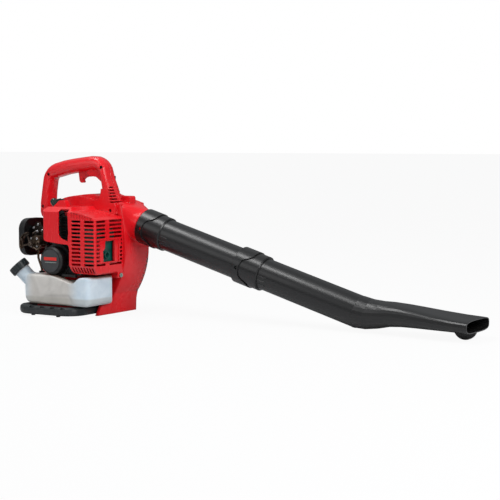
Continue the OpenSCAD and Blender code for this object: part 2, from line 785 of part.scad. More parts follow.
inlet_z = deck_z + 14;
insulator_x = -52;
carb_x0 = -84;
cleaner_x = -91;
cleaner_depth = 20.5;
choke_at = [-70, 158];
choke_y = -134;
module intake_insulator() {
    color(BLACK) difference() {
        union() {
            translate([insulator_x, -cylinder_y - 15, inlet_z - 15]) cube([4, 30, 30]);
            xcyl(insulator_x, -cylinder_y, inlet_z, 10, 16);
            translate([-40, -cylinder_y - 15, inlet_z - 14]) cube([4, 30, 28]);
        }
        xcyl(insulator_x - 1, -cylinder_y, inlet_z, 7, 20);
        for (s = [-1, 1]) xcyl(insulator_x - 1, -cylinder_y + s * 12, inlet_z, 1.6, 20, fn = 24);
    }
}

cam_x = -66;
cam_top = inlet_z + 18;
module carburetor() {
    color(CAST) difference() {
        union() {
            translate([carb_x0, -cylinder_y - 13, inlet_z - 15])
                cube([insulator_x - carb_x0, 26, 30]);
            xcyl(cleaner_x, -cylinder_y, inlet_z, 12, carb_x0 - cleaner_x + 2);
            // Round diaphragm chamber with the boss of the choke lever
            ycyl(choke_at[0] + 3, -cylinder_y - 36, choke_at[1] + 3, 14.9, 24, fn = 64);
            ycyl(choke_at[0], choke_y + 0.4, choke_at[1], 4.5, -cylinder_y - 35 - choke_y, fn = 32);
            translate([carb_x0 + 3, -cylinder_y - 15, inlet_z - 19])
                cube([insulator_x - carb_x0 - 6, 30, 5]);
            translate([carb_x0 + 3, -cylinder_y - 15, inlet_z + 13])
                cube([insulator_x - carb_x0 - 6, 30, 4.6]);
            // Screws of the chamber
            for (a = [45:90:315])
                ycyl(choke_at[0] + 3 + 12 * cos(a), -cylinder_y - 38,
                    choke_at[1] + 3 + 12 * sin(a), 1.8, 4, fn = 24);
            // Mixture needles and the fuel inlet
            ycyl(carb_x0 + 5, -cylinder_y - 26, inlet_z + 8, 2.4, 14, fn = 24);
            ycyl(carb_x0 + 11, -cylinder_y - 24, inlet_z + 11, 2.4, 12, fn = 24);
            zcyl(nipple[0], nipple[1], inlet_z - 27, 1.7, 10, fn = 24);
            zcyl(cam_x, -cylinder_y, inlet_z + 15, 6, 2.6);
        }
        xcyl(cleaner_x - 1, -cylinder_y, inlet_z, 7, 60);
        ycyl(choke_at[0], choke_y - 1, choke_at[1], 2.05, 9, fn = 24);
        zcyl(cam_x, -cylinder_y, cam_top - 8, 3.06, 12, fn = 32);
        // Pocket for the primer bulb's base
        zcyl(cam_x + 4, -cylinder_y, inlet_z - 19 - EPS, 6, 2, fn = 32);
    }
}

module throttle_cam() {
    color(METAL) difference() {
        union() {
            zcyl(cam_x, -cylinder_y, cam_top - 7.6, 3, 11.6, fn = 32);
            zcyl(cam_x, -cylinder_y, cam_top + run_gap, 9, 3.2);
            translate([cam_x - 2.5, -cylinder_y, cam_top + run_gap]) cube([5, 14, 3.2]);
            translate([cam_x - 14, -cylinder_y - 2.5, cam_top + run_gap]) cube([14, 5, 3.2]);
        }
        // Cable groove and nipple hole
        zcyl(cam_x, -cylinder_y + 11.5, cam_top, 1.4, 6, fn = 24);
    }
}

primer_r = 9;
module primer_bulb() {
    z1 = inlet_z - 19;
    color([0.75, 0.2, 0.12]) translate([cam_x + 4, -cylinder_y, z1 - EPS]) rotate([180, 0, 0]) {
        difference() {
            union() {
                cylinder(r = primer_r, h = 2, $fn = 48);
                intersection() {
                    translate([0, 0, 1]) sphere(r = primer_r - 1, $fn = 48);
                    cylinder(r = primer_r, h = 12, $fn = 48);
                }
            }
            intersection() {
                translate([0, 0, 1]) sphere(r = primer_r - 2.4, $fn = 48);
                translate([0, 0, -1]) cylinder(r = primer_r, h = 12, $fn = 48);
            }
        }
    }
}

cleaner_y0 = -132;
cleaner_y1 = -50;
cleaner_z0 = 129.5;
cleaner_z1 = 214;
cleaner_r = 24;
knob_z = (cleaner_z0 + cleaner_z1) / 2;
knob_y = (cleaner_y0 + cleaner_y1) / 2;
module cleaner_outline(inset) {
    rrect([cleaner_y0 + inset, cleaner_z0 + inset], [cleaner_y1 - inset, cleaner_z1 - inset],
        cleaner_r - inset * 0.6, fn = 48);
}
// One ring of the lid's domed skin
function cleaner_ring(x, inset) =
    let (r = cleaner_r - inset * 0.6, y0 = cleaner_y0 + inset + r, y1 = cleaner_y1 - inset - r,
        z0 = cleaner_z0 + inset + r, z1 = cleaner_z1 - inset - r)
    [for (q = concat(arc([y1, z1], r, 0, 90, 8), arc([y0, z1], r, 90, 180, 8),
            arc([y0, z0], r, 180, 270, 8), arc([y1, z0], r, 270, 360, 8)))
        [x, q[0], q[1]]];

case_depth = 9.5;
module air_cleaner_case() {
    color(BLACK) difference() {
        union() {
            difference() {
                front(cleaner_x - case_depth, case_depth) cleaner_outline(0);
                front(cleaner_x - case_depth - EPS, case_depth - 2.6) cleaner_outline(2.6);
            }
            xcyl(cleaner_x - case_depth - 2, knob_y, knob_z, 4.5, case_depth + 1);
        }
        xcyl(cleaner_x - case_depth - 8, knob_y, knob_z, 2.4, case_depth + 6.5, fn = 24);
        // Air horn to the carburettor
        xcyl(cleaner_x - 8, -cylinder_y, inlet_z, 7, 20);
    }
}

module filter_element() {
    color([0.25, 0.27, 0.25]) difference() {
        front(cleaner_x - case_depth - 2, case_depth - 1) cleaner_outline(4.2);
        xcyl(cleaner_x - 18, knob_y, knob_z, 5, 20);
    }
}

module air_cleaner_cover() {
    x0 = cleaner_x - cleaner_depth;
    x1 = cleaner_x - case_depth - 0.3;
    color(BLACK) difference() {
        union() {
            skin([cleaner_ring(x0, 9), cleaner_ring(x0 + 0.9, 5), cleaner_ring(x0 + 2.4, 2.4),
                cleaner_ring(x0 + 4.4, 0.8), cleaner_ring(x0 + 6.6, 0), cleaner_ring(x1, 0)]);
            for (z = [cleaner_z0 + 24:14:cleaner_z1 - 22])
                translate([x0 - 1, cleaner_y0 + 16, z]) cube([3, 14, 3]);
        }
        front(x0 + 4.4, cleaner_depth) cleaner_outline(3.4);
        xcyl(x0 - 2, knob_y, knob_z, 3.4, 10);
    }
}

module cleaner_knob() {
    x0 = cleaner_x - cleaner_depth;
    color(BLACK) difference() {
        union() {
            xcyl(x0 - 13, knob_y, knob_z, 10, 10);
            xcyl(x0 - 3 - EPS, knob_y, knob_z, 5.5, 2.6);
            xcyl(x0 - 14, knob_y, knob_z, 3, cleaner_depth - case_depth + 11.6, fn = 32);
            xcyl(x0 + 4, knob_y, knob_z, 2.34, cleaner_depth - 8, fn = 24);
        }
        for (a = [0:45:315])
            xcyl(x0 - 14, knob_y + 11 * cos(a), knob_z + 11 * sin(a), 3, 10.5, fn = 24);
    }
}

// Choke lever: a curved band on two spokes that turns on the carburettor's boss
choke_r = 27;
module choke_lever() {
    color(CAST) {
        side(choke_y - 3, 3) {
            polygon(concat(arc(choke_at, choke_r, 98, 206, 12),
                arc(choke_at, choke_r - 6, 206, 98, 12)));
            for (a = [112, 192]) translate(choke_at) rotate(a)
                translate([0, -2]) square([choke_r - 3, 4]);
            difference() {
                translate(choke_at) circle(6.5, $fn = 32);
                translate(choke_at) circle(1.2, $fn = 24);
            }
        }
        // Thumb tab that stands out at the band's end
        translate([choke_at[0], 0, choke_at[1]]) rotate([0, 180 + 26, 0])
            translate([choke_r - 7, choke_y - 9, -2]) cube([7, 7, 4]);
        ycyl(choke_at[0], choke_y - 1, choke_at[1], 2, 8, fn = 24);
    }
}

// ---- fuel system ---------------------------------------------------------

// The filler neck leans back and out towards the user
neck_lean = 42.4;
neck_turn = 207;
neck_foot = [-65.5, -105.7, 49.8];
neck_len = 76;
neck_root = 34;
tank_low = base_high + 0.3;
tank_rear = -88;
tank_front = 108;
tank_back_y = -60;
module neck(s) {
    translate(neck_foot) rotate([0, neck_lean, neck_turn]) translate([0, 0, s]) children();
}
// Neck with its root, a cone that grows out of the tank's rear
module neck_form(t, len) {
    neck(0) rotate_extrude($fn = 48)
        polygon([[0, 6], [9 - t, 6], [neck_r - t, neck_root], [neck_r - t, len], [0, len]]);
}

// The tank's body: its side outline with the dip under the starter's grip, cut
// to its outlines from above and from the front
module tank_form(t) {
    intersection() {
        side(-tank_y + t, tank_y + tank_back_y - 2 * t)
            polygon(concat(
                arc([tank_rear + 38, tank_low + 34], 34 - t, 190, 262, 9),
                arc([tank_front - 15, tank_low + 15], 15 - t, 270, 360, 6),
                arc([tank_front - 9, tank_top - 10.5], 9 - t, 0, 90, 6),
                [[82, tank_top - 2 - t], [77, tank_top - 4.5 - t], [71, tank_top - 9 - t],
                    [65, tank_top - 14 - t], [59, tank_top - 16.2 - t], [50, tank_top - 15 - t],
                    [35, tank_top - 10 - t], [14, tank_top - 3.8 - t], [2, tank_top - 1 - t],
                    [-9, tank_top - t]],
                arc([tank_rear + 17, tank_top - 16], 16 - t, 90, 172, 6)));
        translate([0, 0, tank_low - 5]) linear_extrude(tank_top + 20) union() {
            rrect([tank_rear + t, -tank_y + t], [tank_front - 30, tank_back_y - t], 27 - t, 48);
            rrect([tank_rear + 60, -tank_y + t], [tank_front - t, tank_back_y - t], 12 - t, 32);
        }
        front(tank_rear - 5, tank_front - tank_rear + 20)
            rrect([-tank_y + t, tank_low + t], [tank_back_y - t, tank_top + 3 - t], 9 - t);
    }
}

module fuel_tank() {
    wall = 2;
    // The scoop stops short of the outer face, which hides it
    scoop_y = -tank_y + 23;
    scoop_len = tank_y - 23 + tank_back_y + 6;
    color(MILK) difference() {
        union() {
            tank_form(0);
            neck_form(0, neck_len);
        }
        // Scoop that clears the starter and the crankcase
        ycyl(0, scoop_y, crank_z, tank_scoop_r, scoop_len, fn = 96);
        // Grip recess low on the outer face
        side(-tank_y - 1, 2.4) polygon([[-34, tank_low + 3], [-20, 47], [50, 50], [58, 44],
            [64, tank_low + 3]]);
        difference() {
            union() {
                difference() {
                    tank_form(wall);
                    side(-tank_y - 1, 4.8) polygon([[-38, 0], [-22, 50], [52, 53], [68, 44],
                        [70, 0]]);
                }
                neck_form(wall, neck_len + 1);
            }
            ycyl(0, scoop_y - wall, crank_z, tank_scoop_r + wall, scoop_len + wall, fn = 96);
        }
        // Filler mouth and the hole for the grommet
        neck(neck_len - 4) cylinder(r = neck_r - wall, h = 10, $fn = 48);
        zcyl(grommet_x, grommet_y, tank_top - 12, 4.5, 30, fn = 32);
    }
}

cap_h = 17;
cap_gap = 0.35;
module fuel_cap_seal() {
    color(BLACK) neck(neck_len + cap_gap) difference() {
        cylinder(r = neck_r - 0.5, h = 1.6, $fn = 48);
        translate([0, 0, -1]) cylinder(r = neck_r - 6, h = 4, $fn = 48);
    }
}

module fuel_cap() {
    top = neck_len + cap_gap + 1.6 + run_gap;
    color(DARK) neck(top - cap_h + 3) difference() {
        union() {
            cylinder(r = cap_r, h = cap_h, $fn = 64);
            for (a = [0:15:345]) rotate([0, 0, a]) translate([cap_r - 0.6, -1, 1])
                cube([1.4, 2, cap_h - 3]);
        }
        translate([0, 0, -1]) cylinder(r = neck_r + run_gap, h = cap_h - 3 + 1, $fn = 64);
    }
}

grommet_x = -64;
grommet_y = -104;
line_r = 1.9;
module fuel_grommet() {
    color(BLACK) difference() {
        union() {
            zcyl(grommet_x, grommet_y, tank_top, 6.5, 3, fn = 32);
            zcyl(grommet_x, grommet_y, tank_top - 6, 4.4, 6.1, fn = 32);
        }
        zcyl(grommet_x, grommet_y, tank_top - 8, line_r + 0.92, 20, fn = 24);
    }
}

nipple = [carb_x0 + 5.5, -cylinder_y - 8];
line_points = [[grommet_x, grommet_y, tank_top - 4], [grommet_x, grommet_y, tank_top + 6],
    [grommet_x - 1.6, grommet_y, tank_top + 13], [grommet_x - 6, grommet_y + 0.4, tank_top + 22],
    [grommet_x - 11.5, grommet_y + 2, tank_top + 33], [nipple[0], nipple[1] - 2, inlet_z - 36],
    [nipple[0], nipple[1], inlet_z - 29], [nipple[0], nipple[1], inlet_z - 20]];
module fuel_line() {
    color([0.35, 0.3, 0.3]) difference() {
        cord(line_points, line_r + 0.9, 10, [0, 1, 0.05]);
        zcyl(nipple[0], nipple[1], inlet_z - 27.5, 1.75, 10, fn = 24);
    }
}

// ---- engine cover --------------------------------------------------------

cover_rear = -27;
block_x = 50;
row_top = 213;
row_pitch = 8.6;
// Outline of the outer face; t insets it by the wall
module cover_face(t) {
    polygon([[cover_rear + t, 178 + t], [cover_rear + t, cover_top - 7 - t],
        [cover_rear + 6 + t, cover_top - t], [45, cover_top - t], [54, cover_top - 7.5 - t],
        [86, cover_top - 13 - t], [cover_x - 6, cover_top - 21 - t], [cover_x - t, cover_top - 26 - t],
        [cover_x - t, cover_low + 3 + t], [cover_x - 3, cover_low + t],
        [block_x + 9, cover_low + t], [block_x + 4 + t, cover_low + 2 + t],
        [block_x + 1 + t, cover_low + 6 + t], [block_x + t, cover_low + 12 + t],
        [block_x + t, 152 + t], [block_x - 1, 157 + t], [46, 161 + t], [20, 162.5 + t],
        [-16, 166.5 + t], [-23, 170 + t]]);
}
// Its outline from above, with rounded corners
module cover_plan(t) {
    polygon(concat(
        [[cover_rear + t, -case_half_w]],
        arc([cover_rear + 8, -cover_y + 8], 8 - t, 180, 270, 5),
        arc([cover_x - 7, -cover_y + 7], 7 - t, 270, 360, 5),
        [[cover_x - t, -case_half_w]]));
}
// Its outline from the front, with the chamfers above and below the louvres
module cover_profile(t) {
    polygon([[-case_half_w, cover_low + t], [-cover_y + 12, cover_low + t],
        [-cover_y + 2 + t, cover_low + 15], [-cover_y + t, cover_low + 19],
        [-cover_y + t, cover_top - 10.5], [-cover_y + 15 + t, cover_top - t],
        [-case_half_w, cover_top - t]]);
}
module cover_body(t) {
    intersection() {
        side(-cover_y, cover_y + engine_y) cover_face(t);
        translate([0, 0, 90]) linear_extrude(170) cover_plan(t);
        front(cover_rear - 5, cover_x - cover_rear + 10) cover_profile(t);
    }
}

// A louvre slot in the outer face, with round ends
module face_slot(x0, x1, z) {
    side(-cover_y - 2, cover_wall + 5)
        rrect([x0, z - louvre_h / 2], [x1, z + louvre_h / 2], louvre_soft, 16);
}
// The same in the front face
module front_slot(y0, y1, z) {
    front(cover_x - cover_wall - 3, cover_wall + 5)
        rrect([y0, z - louvre_h / 2], [y1, z + louvre_h / 2], louvre_soft, 16);
}
louvre_soft = 1.4;
face_cols = [[56.6, 82.1], [91.9, 118]];
// The window's own outline and the frame sunk round it
module window_outline() {
    polygon([[-111.5, 123.5], [-112.5, 147.4], [-105.6, 153.3], [-104.5, 169.5], [-71, 169.5],
        [-71.5, 123.5]]);
}

module engine_cover() {
    color(RED) difference() {
        union() {
            difference() {
                cover_body(0);
                translate([0, EPS, 0]) cover_body(cover_wall);
            }
            // Frame round the muffler window, sunk into the front face
            front(cover_x - 8, 6.4) difference() {
                rrect([-125.5, 118], [-56, 175], 4);
                window_outline();
            }
            // Hump beside the spark plug
            side(-119, 14) polygon([[-19, cover_top - 4], [-12, cover_top + 3], [0, cover_top + 13],
                [4, cover_top + 14], [13, cover_top + 14.5], [17, cover_top + 12],
                [25, cover_top - 4]]);
            // Ear for the screw
            translate([cover_x - 5, -62, cover_low - 12]) cube([5, 17, 15]);
        }
        for (i = [0:louvre_rows - 1]) {
            z = row_top - i * row_pitch;
            for (c = face_cols) face_slot(c[0], c[1], z);
            if (i > 4 && i < 11) {
                front_slot(-138.5, -126.5, z);
                front_slot(i < 7 ? -51.5 : -55.5, -46.5, z);
            } else {
                front_slot(-138.5, -106.5, z);
                front_slot(-93, -48.5, z);
            }
        }
        front(cover_x - 2.4, 4) rrect([-123, 120.5], [-58.5, 172.5], 3);
        front(cover_x - 12, 14) window_outline();
        // Flutes on the chamfer above the louvres
        for (i = [0:7]) translate([56.6 + i * 7.6, -cover_y - 0.6, 220.5 - i * 0.7])
            rotate([-4, 0, 0]) cylinder(r = 2.2, h = 12 - i * 0.9, $fn = 20);
        // Tall opening beside the louvres
        side(-cover_y - 2, 12) hull() {
            translate([24.5, cover_top - 8.5]) circle(4.5, $fn = 24);
            translate([41.5, cover_top - 8.5]) circle(4.5, $fn = 24);
            translate([45.4, 168]) square([0.6, 1]);
            translate([34, 187]) circle(14, $fn = 48);
        }
        // Upright slots on the chamfer below the louvres
        for (i = [0:7]) translate([56 + i * 7.8, -cover_y - 4, cover_low + 3])
            cube([3.8, 20, 12]);
        // The rear of the left block is open to the plug and the carburettor
        translate([cover_rear - 4, -128, 150]) cube([10, 88, 78]);
        translate([cover_rear - 4, -128, 150]) cube([block_x - cover_rear + 4, 88, 26]);
        translate([cover_rear - 4, -104, 200]) cube([44, 26, 60]);
        // Room for the handle's skirt
        translate([cover_rear - 20, -handle_out - 0.4, 212]) cube([160, 20, 40]);
        xcyl(cover_x - 10, -54, cover_low - 6.5, 2.4, 14, fn = 24);
    }
}

module cover_screws() {
    color(METAL) translate([cover_x, -54, cover_low - 6.5]) rotate([0, 90, 0])
        screw(2, 12, 5, 3);
}

// ---- skid ----------------------------------------------------------------

skid_z = pad_h + skid_r;
skid_x0 = -92;
skid_x1 = 64;
skid_screw_at = [[-48, -84], [-48, -118], [38, -84], [38, -118]];
skid_corner = 34;
// Centre line of the skid: a long outer run with a round corner at each end
skid_path = concat(
    [[skid_x0, -70], [skid_x0, -96]],
    arc([skid_x0 + skid_corner, -skid_y + skid_corner], skid_corner, 180, 270, 7),
    [[0, -skid_y]],
    arc([skid_x1 - skid_corner, -skid_y + skid_corner], skid_corner, 270, 360, 8),
    [[skid_x1, -104], [skid_x1, -70]]);
module skid() {
    rings = [for (i = [0:len(skid_path) - 1])
        let (a = skid_path[max(i - 1, 0)], b = skid_path[min(i + 1, len(skid_path) - 1)],
            d = unit(b - a), w = [-d[1], d[0]])
        [for (k = [0:15]) let (q = squircle(360 * k / 16, skid_r, skid_r, 2.8))
            [skid_path[i][0] + w[0] * q[0], skid_path[i][1] + w[1] * q[0], skid_z + q[1]]]];
    color(DARK) difference() {
        skin(rings);
        // Notches above and below the long run
        for (x = [-46, -16, 13, 42])
            translate([x - 6.3, -skid_y - skid_r - 1, skid_z + skid_r - 5]) cube([12.6, 7, 6]);
        for (x = [-26, 7, 37])
            translate([x - 6.3, -skid_y - skid_r - 1, skid_z - skid_r - 1]) cube([12.6, 7, 4]);
        // Oval recess on the front corner
        translate([skid_x1 - skid_corner, -skid_y + skid_corner, skid_z])
            rotate([0, 0, -15]) front(skid_corner + skid_r - 2.4, 20)
                rrect([-12, -5.5], [12, 5.5], 5.48, 24);
    }
    // Lugs under the tray
    color(DARK) for (p = skid_screw_at) difference() {
        hull() {
            zcyl(p[0], p[1], base_low - 5, 6, 4.98, fn = 24);
            zcyl(p[0] < 0 ? skid_x0 + 6 : skid_x1 - 4, p[1], base_low - 5, 5, 4.98, fn = 24);
        }
        zcyl(p[0], p[1], base_low - 6, 2.4, 8, fn = 24);
    }
}

module skid_pads() {
    color(BLACK) for (p = [[-52, -skid_y + 5], [20, -skid_y + 5], [skid_x0, -84]])
        zcyl(p[0], p[1], 0, 4.5, pad_h + 1, fn = 32);
}

module skid_screws() {
    color(STEEL) for (p = skid_screw_at)
        translate([p[0], p[1], base_low - 5]) rotate([180, 0, 0]) screw(2.3, 12, 4.5, 2.4);
}

// ---- handle --------------------------------------------------------------

// Centre line of the handle loop with its half depth, from the rear foot over
// the grip to the front foot
// All heights of the handle are counted from the casing's top
case_top = crank_z + case_r + case_growth;
handle_rear_c = [-68, 28];
handle_front_c = [42, 47];
function with_depth(pts, a, b) =
    [for (i = [0:len(pts) - 1]) [pts[i][0], pts[i][1], a + (b - a) * i / (len(pts) - 1)]];
handle_path = concat(
    [[-100, -49, 8], [-102.1, -46, 10.4], [-103.5, -40, 12], [-103, -20, 12], [-100, 6, 10.5]],
    with_depth(arc(handle_rear_c, 28, 172, 100, 5), 11.5, 17),
    [[-45, 62.5, 17], [-20, 66.5, 17], [5, 69.5, 17], [28, 72, 17]],
    with_depth(arc(handle_front_c, 25, 85, 15, 5), 16.5, 10.5),
    [[71.5, 34, 10.5], [77, 16, 12.5], [82, -1, 15], [87, -20, 18], [90, -42, 20]]);
function handle_ring(i, t) =
    let (p = handle_path[i],
        a = handle_path[max(i - 1, 0)], b = handle_path[min(i + 1, len(handle_path) - 1)],
        d = unit([b[0] - a[0], b[1] - a[1]]), w = [d[1], -d[0]],
        // The posts are squarer than the grip
        e = 2.3 + min(1, max(0, (50 - p[1]) / 40)),
        // The hollow runs out through both feet
        out = t == 0 ? [0, 0] : i == 0 ? -d : i == len(handle_path) - 1 ? d : [0, 0])
    [for (k = [0:19]) let (q = squircle(360 * k / 20, p[2] - t, handle_w / 2 - t, e))
        [p[0] + out[0] + w[0] * q[0], -handle_y + q[1],
            case_top + p[1] + out[1] + w[1] * q[0]]];
module handle_loop(t) {
    skin([for (i = [0:len(handle_path) - 1]) handle_ring(i, t)]);
}

handle_screw_at = [[-86.6, case_top + 46.3], [-104.5, case_top - 27.5],
    [65.1, case_top + 63.5], [91.6, case_top - 32.4]];
trigger_at = [34, case_top + 52];
handle_out = handle_y + handle_w / 2;
fairing_t = handle_out - case_half_w - 0.2;

// Web at the front of the grip that carries the trigger
module trigger_web() {
    translate([0, 0, case_top]) side(-handle_y - 12, 24) polygon(concat([[20, 62]],
        arc([30, 55], 11, 200, 270, 5), [[46, 42], [62, 30], [72, 34], [60, 68]]));
}

// Skirt that lies on the casing's outer wall, under the loop
module handle_fairing() {
    side(-handle_out, fairing_t) polygon(concat(
        [for (p = [[104, -48], [107, -26], [100, -4], [88, 16], [66, 16], [64, 2], [56, -7],
            [46, -10]]) [p[0], case_top + p[1]]],
        arc([0, crank_z], case_r + case_growth - 1, 71, 114, 10),
        [[-62, case_top - 40], [40, case_top - 44]]));
}

// Slots that wrap round the front post's near corner, and a comb at its far one
module handle_vents(near) {
    for (i = [0:5])
        translate([85 + i * 1.4, near ? -handle_out - 1 : -handle_y + 8, case_top + 17.8 - i * 6.55])
            cube([30, near ? 17 : 14, 3]);
}

switch_at = [71, case_top + 34];
module handle_half(near) {
    y0 = near ? -handle_out - 1 : -handle_y;
    color(RED) difference() {
        intersection() {
            difference() {
                union() {
                    handle_loop(0);
                    trigger_web();
                    if (near) handle_fairing();
                }
                difference() {
                    handle_loop(handle_wall);
                    // Bosses for the screws
                    for (p = handle_screw_at)
                        ycyl(p[0], -handle_out, p[1], 4.6, handle_w, fn = 24);
                }
            }
            translate([-130, y0, case_top - 76]) cube([260, handle_w / 2 + 1, 180]);
        }
        // The casing's top and the duct pass through the feet
        side(engine_y - 0.2, 90) polygon(case_outline(-0.2));
        side(engine_y - 0.2, 90) polygon([[88, 225], [88, duct_line(88, 1) + 2.4],
            [126, duct_line(126, 1) + 2.4], [126, 225]]);
        handle_vents(near);
        // Slot and pin hole for the trigger
        translate([0, 0, case_top]) side(-handle_y - trigger_w / 2 - 0.5, trigger_w + 1)
            polygon([[-13, 24], [44, 24], [44, 56], [30, 68], [-13, 64]]);
        ycyl(trigger_at[0], -handle_y - 10, trigger_at[1], 2.02, 20, fn = 32);
        ycyl(trigger_at[0], -handle_y, trigger_at[1], 5.4, 11, fn = 32);
        // Screw holes, stepped on the near side for the heads
        for (p = handle_screw_at) {
            ycyl(p[0], -handle_out - 1, p[1], 1.9, handle_w - 4, fn = 24);
            if (near) ycyl(p[0], -handle_out - 1, p[1], 3.7, 6, fn = 24);
        }
        // Pocket for the stop switch
        if (!near) translate([switch_at[0] - 6.4, -handle_y + 12, switch_at[1] - 10.4])
            cube([12.8, 12, 20.8]);
    }
}

module handle_left() {
    handle_half(true);
}

module handle_right() {
    handle_half(false);
}

module handle_screws() {
    color(STEEL) for (p = handle_screw_at)
        translate([p[0], -handle_out + 5, p[1]]) rotate([90, 0, 0]) screw(1.88, 24, 3.4, 2);
}

trigger_w = 11;
module trigger() {
    color(RED) difference() {
        side(-handle_y - trigger_w / 2, trigger_w) polygon(concat(
            [[-10, case_top + 54], [-7, case_top + 32]], arc([-1, case_top + 33], 5, 200, 318, 6),
            arc([16, case_top + 22], 20, 140, 84, 6), [[34, case_top + 43.4]],
            arc(trigger_at, 8, -60, 90, 6), [[10, case_top + 61]]));
        ycyl(trigger_at[0], -handle_y - 10, trigger_at[1], 2.06, 20, fn = 32);
    }
}

module trigger_pin() {
    color(STEEL) ycyl(trigger_at[0], -handle_y - 10, trigger_at[1], 2, 20, fn = 32);
}

module trigger_spring() {
    turns = 3;
    pitch = 1.15;
    color(STEEL) skin([for (i = [0:turns * 8])
        let (a = i * 45, c = [trigger_at[0], -handle_y + trigger_w / 2 + 1.2 + i * pitch / 8, trigger_at[1]],
            u = [cos(a), 0, sin(a)])
        [for (k = [0:5]) c + u * (4 + 0.35 * cos(60 * k)) + [0, 0.35 * sin(60 * k), 0]]]);
}

module stop_switch() {
    color(BLACK) translate([switch_at[0], -handle_y + 17, switch_at[1]]) rotate([7, 0, 0])
        front(-6, 12) polygon([[-3, -9], [4.5, -9.6], [2.6, 0], [4.5, 9.6], [-3, 9]]);
    color(STEEL) translate([switch_at[0] - 6.4, -handle_y + 17, switch_at[1]]) rotate([0, 90, 0])
        cylinder(r = 1, h = 12.8, $fn = 24);
}

// The throttle cable runs inside the grip and the rear post, then over the air
// cleaner to the carburettor
cable_points = concat(
    [for (p = [[-16, 64], [-36, 61], [-56, 54], [-70, 48], [-79, 43], [-85.5, 38.5], [-89.5, 31],
        [-92.5, 17], [-95, 0], [-96.5, -18], [-97, -33]]) [p[0], -handle_y, case_top + p[1]]],
    [[-97, -34, inlet_z + 51], [-97, -43, inlet_z + 45], [-93, -49.5, inlet_z + 41],
        [-87, -56, inlet_z + 37.5], [-82, -62, inlet_z + 32.5], [-77, -67, inlet_z + 28],
        [-73, -71, inlet_z + 25]]);
module throttle_cable() {
    color(BLACK) cord(cable_points, 1.6, 8, [0, 1, 0.05]);
}

// ---- tubes ---------------------------------------------------------------

// A bayonet socket at distance s along the duct axis. A raised band round its
// mouth grows into a block on top and below, with sweeping edges at the sides.
band_r = socket_r + 2.2;
module socket_outer(s) {
    along_duct(s) {
        cylinder(r = socket_r, h = socket_len - 2, $fn = 96);
        translate([0, 0, socket_len - 2]) cylinder(r1 = socket_r, r2 = socket_r - 2, h = 2, $fn = 96);
        difference() {
            cylinder(r = band_r, h = 42, $fn = 96);
            rotate([90, 0, 0]) linear_extrude(3 * band_r, center = true) polygon([[-50, 39],
                [-38, 38.5], [-32, 37], [-27, 32], [-23, 24], [-18, 18.5], [-10, 16.4], [0, 16],
                [10, 16.4], [18, 18.5], [23, 24], [27, 32], [32, 37], [38, 38.5], [50, 39],
                [50, 50], [-50, 50]]);
        }
    }
}

twist = 25;
module socket_bore(s) {
    along_duct(s) {
        translate([0, 0, -1]) cylinder(r = tube_r + socket_gap, h = spigot_len + 4, $fn = 96);
        // Track for the pins: straight in, then round to the lock
        for (a = [90, -90]) rotate([0, 0, a]) {
            rotate([0, 0, -4 - pin_r]) rotate_extrude(angle = twist + 14, $fn = 96)
                polygon([[tube_r - 1, bayonet_s - s_off - 4], [tube_r + 3.4, bayonet_s - s_off - 4],
                    [tube_r + 3.4, bayonet_s - s_off + 4], [tube_r - 1, bayonet_s - s_off + 4]]);
            rotate([0, 0, twist - 6]) rotate_extrude(angle = 14, $fn = 96)
                polygon([[tube_r - 2, -2], [tube_r + 3.2, -2],
                    [tube_r + 3.2, bayonet_s - s_off], [tube_r - 2, bayonet_s - s_off]]);
            translate([0, 0, bayonet_s - s_off]) rotate([0, 90, 0])
                cylinder(r = pin_r + 0.8, h = socket_r + 6, $fn = 32);
        }
    }
}
s_off = 3;

module grip_ribs(s, body_r) {
    along_duct(s) for (a = [60, 75, 90, -60, -75, -90]) rotate([0, 0, a])
        translate([body_r - 1, -0.7, 0]) cube([1.9, 1.4, 22]);
}

module blower_tube() {
    s0 = s_off;
    color(BLACK) difference() {
        union() {
            socket_outer(s0);
            along_duct(s0 + socket_len - 1)
                cylinder(r = tube_r, h = socket_pitch + spigot_len - socket_len - 4, $fn = 96);
            grip_ribs(s0 + socket_len - 0.5, tube_r);
            bayonet_pins(s0 + socket_pitch + bayonet_s - s_off);
        }
        socket_bore(s0);
        along_duct(s0 + 5) cylinder(r = tube_r - tube_wall, h = socket_pitch + 120, $fn = 96);
    }
}

// Sections of the nozzle from where it leaves the round to its flat mouth:
// place and height of the middle, lean, half width, half height and squareness
bend_x = 690;
bend_z = duct_z - (bend_x - duct_x) * duct_slope;
nozzle_sections = [
    [bend_x, bend_z, duct_drop, nozzle_r + 0.5, nozzle_r + 0.5, 2],
    [716, 36.5, 13, 35, 32, 2.05],
    [742, 37, 8, 36.5, 28.5, 2.2],
    [768, 39.5, 4, 39.2, 25, 2.4],
    [796, 39.2, 2, 42.2, 22.5, 2.7],
    [830, 37.2, 1, 46, 20, 3],
    [870, 34.4, 0, 50.4, 17.4, 3.3],
    [912, 31.8, 0, 54.6, 15, 3.5],
    [mouth_x, 30, 0, mouth_w / 2, mouth_h / 2, 3.6]];
function nozzle_ring(s, t, out) =
    [for (k = [0:27]) let (q = squircle(360 * k / 28, s[3] - t, s[4] - t, s[5]))
        [s[0] + out + q[1] * sin(s[2]), q[0], s[1] + q[1] * cos(s[2])]];
module nozzle_loft(t) {
    n = len(nozzle_sections) - 1;
    skin([for (i = [0:n]) nozzle_ring(nozzle_sections[i], t,
        t == 0 ? 0 : i == 0 ? -1 : i == n ? 1 : 0)]);
}

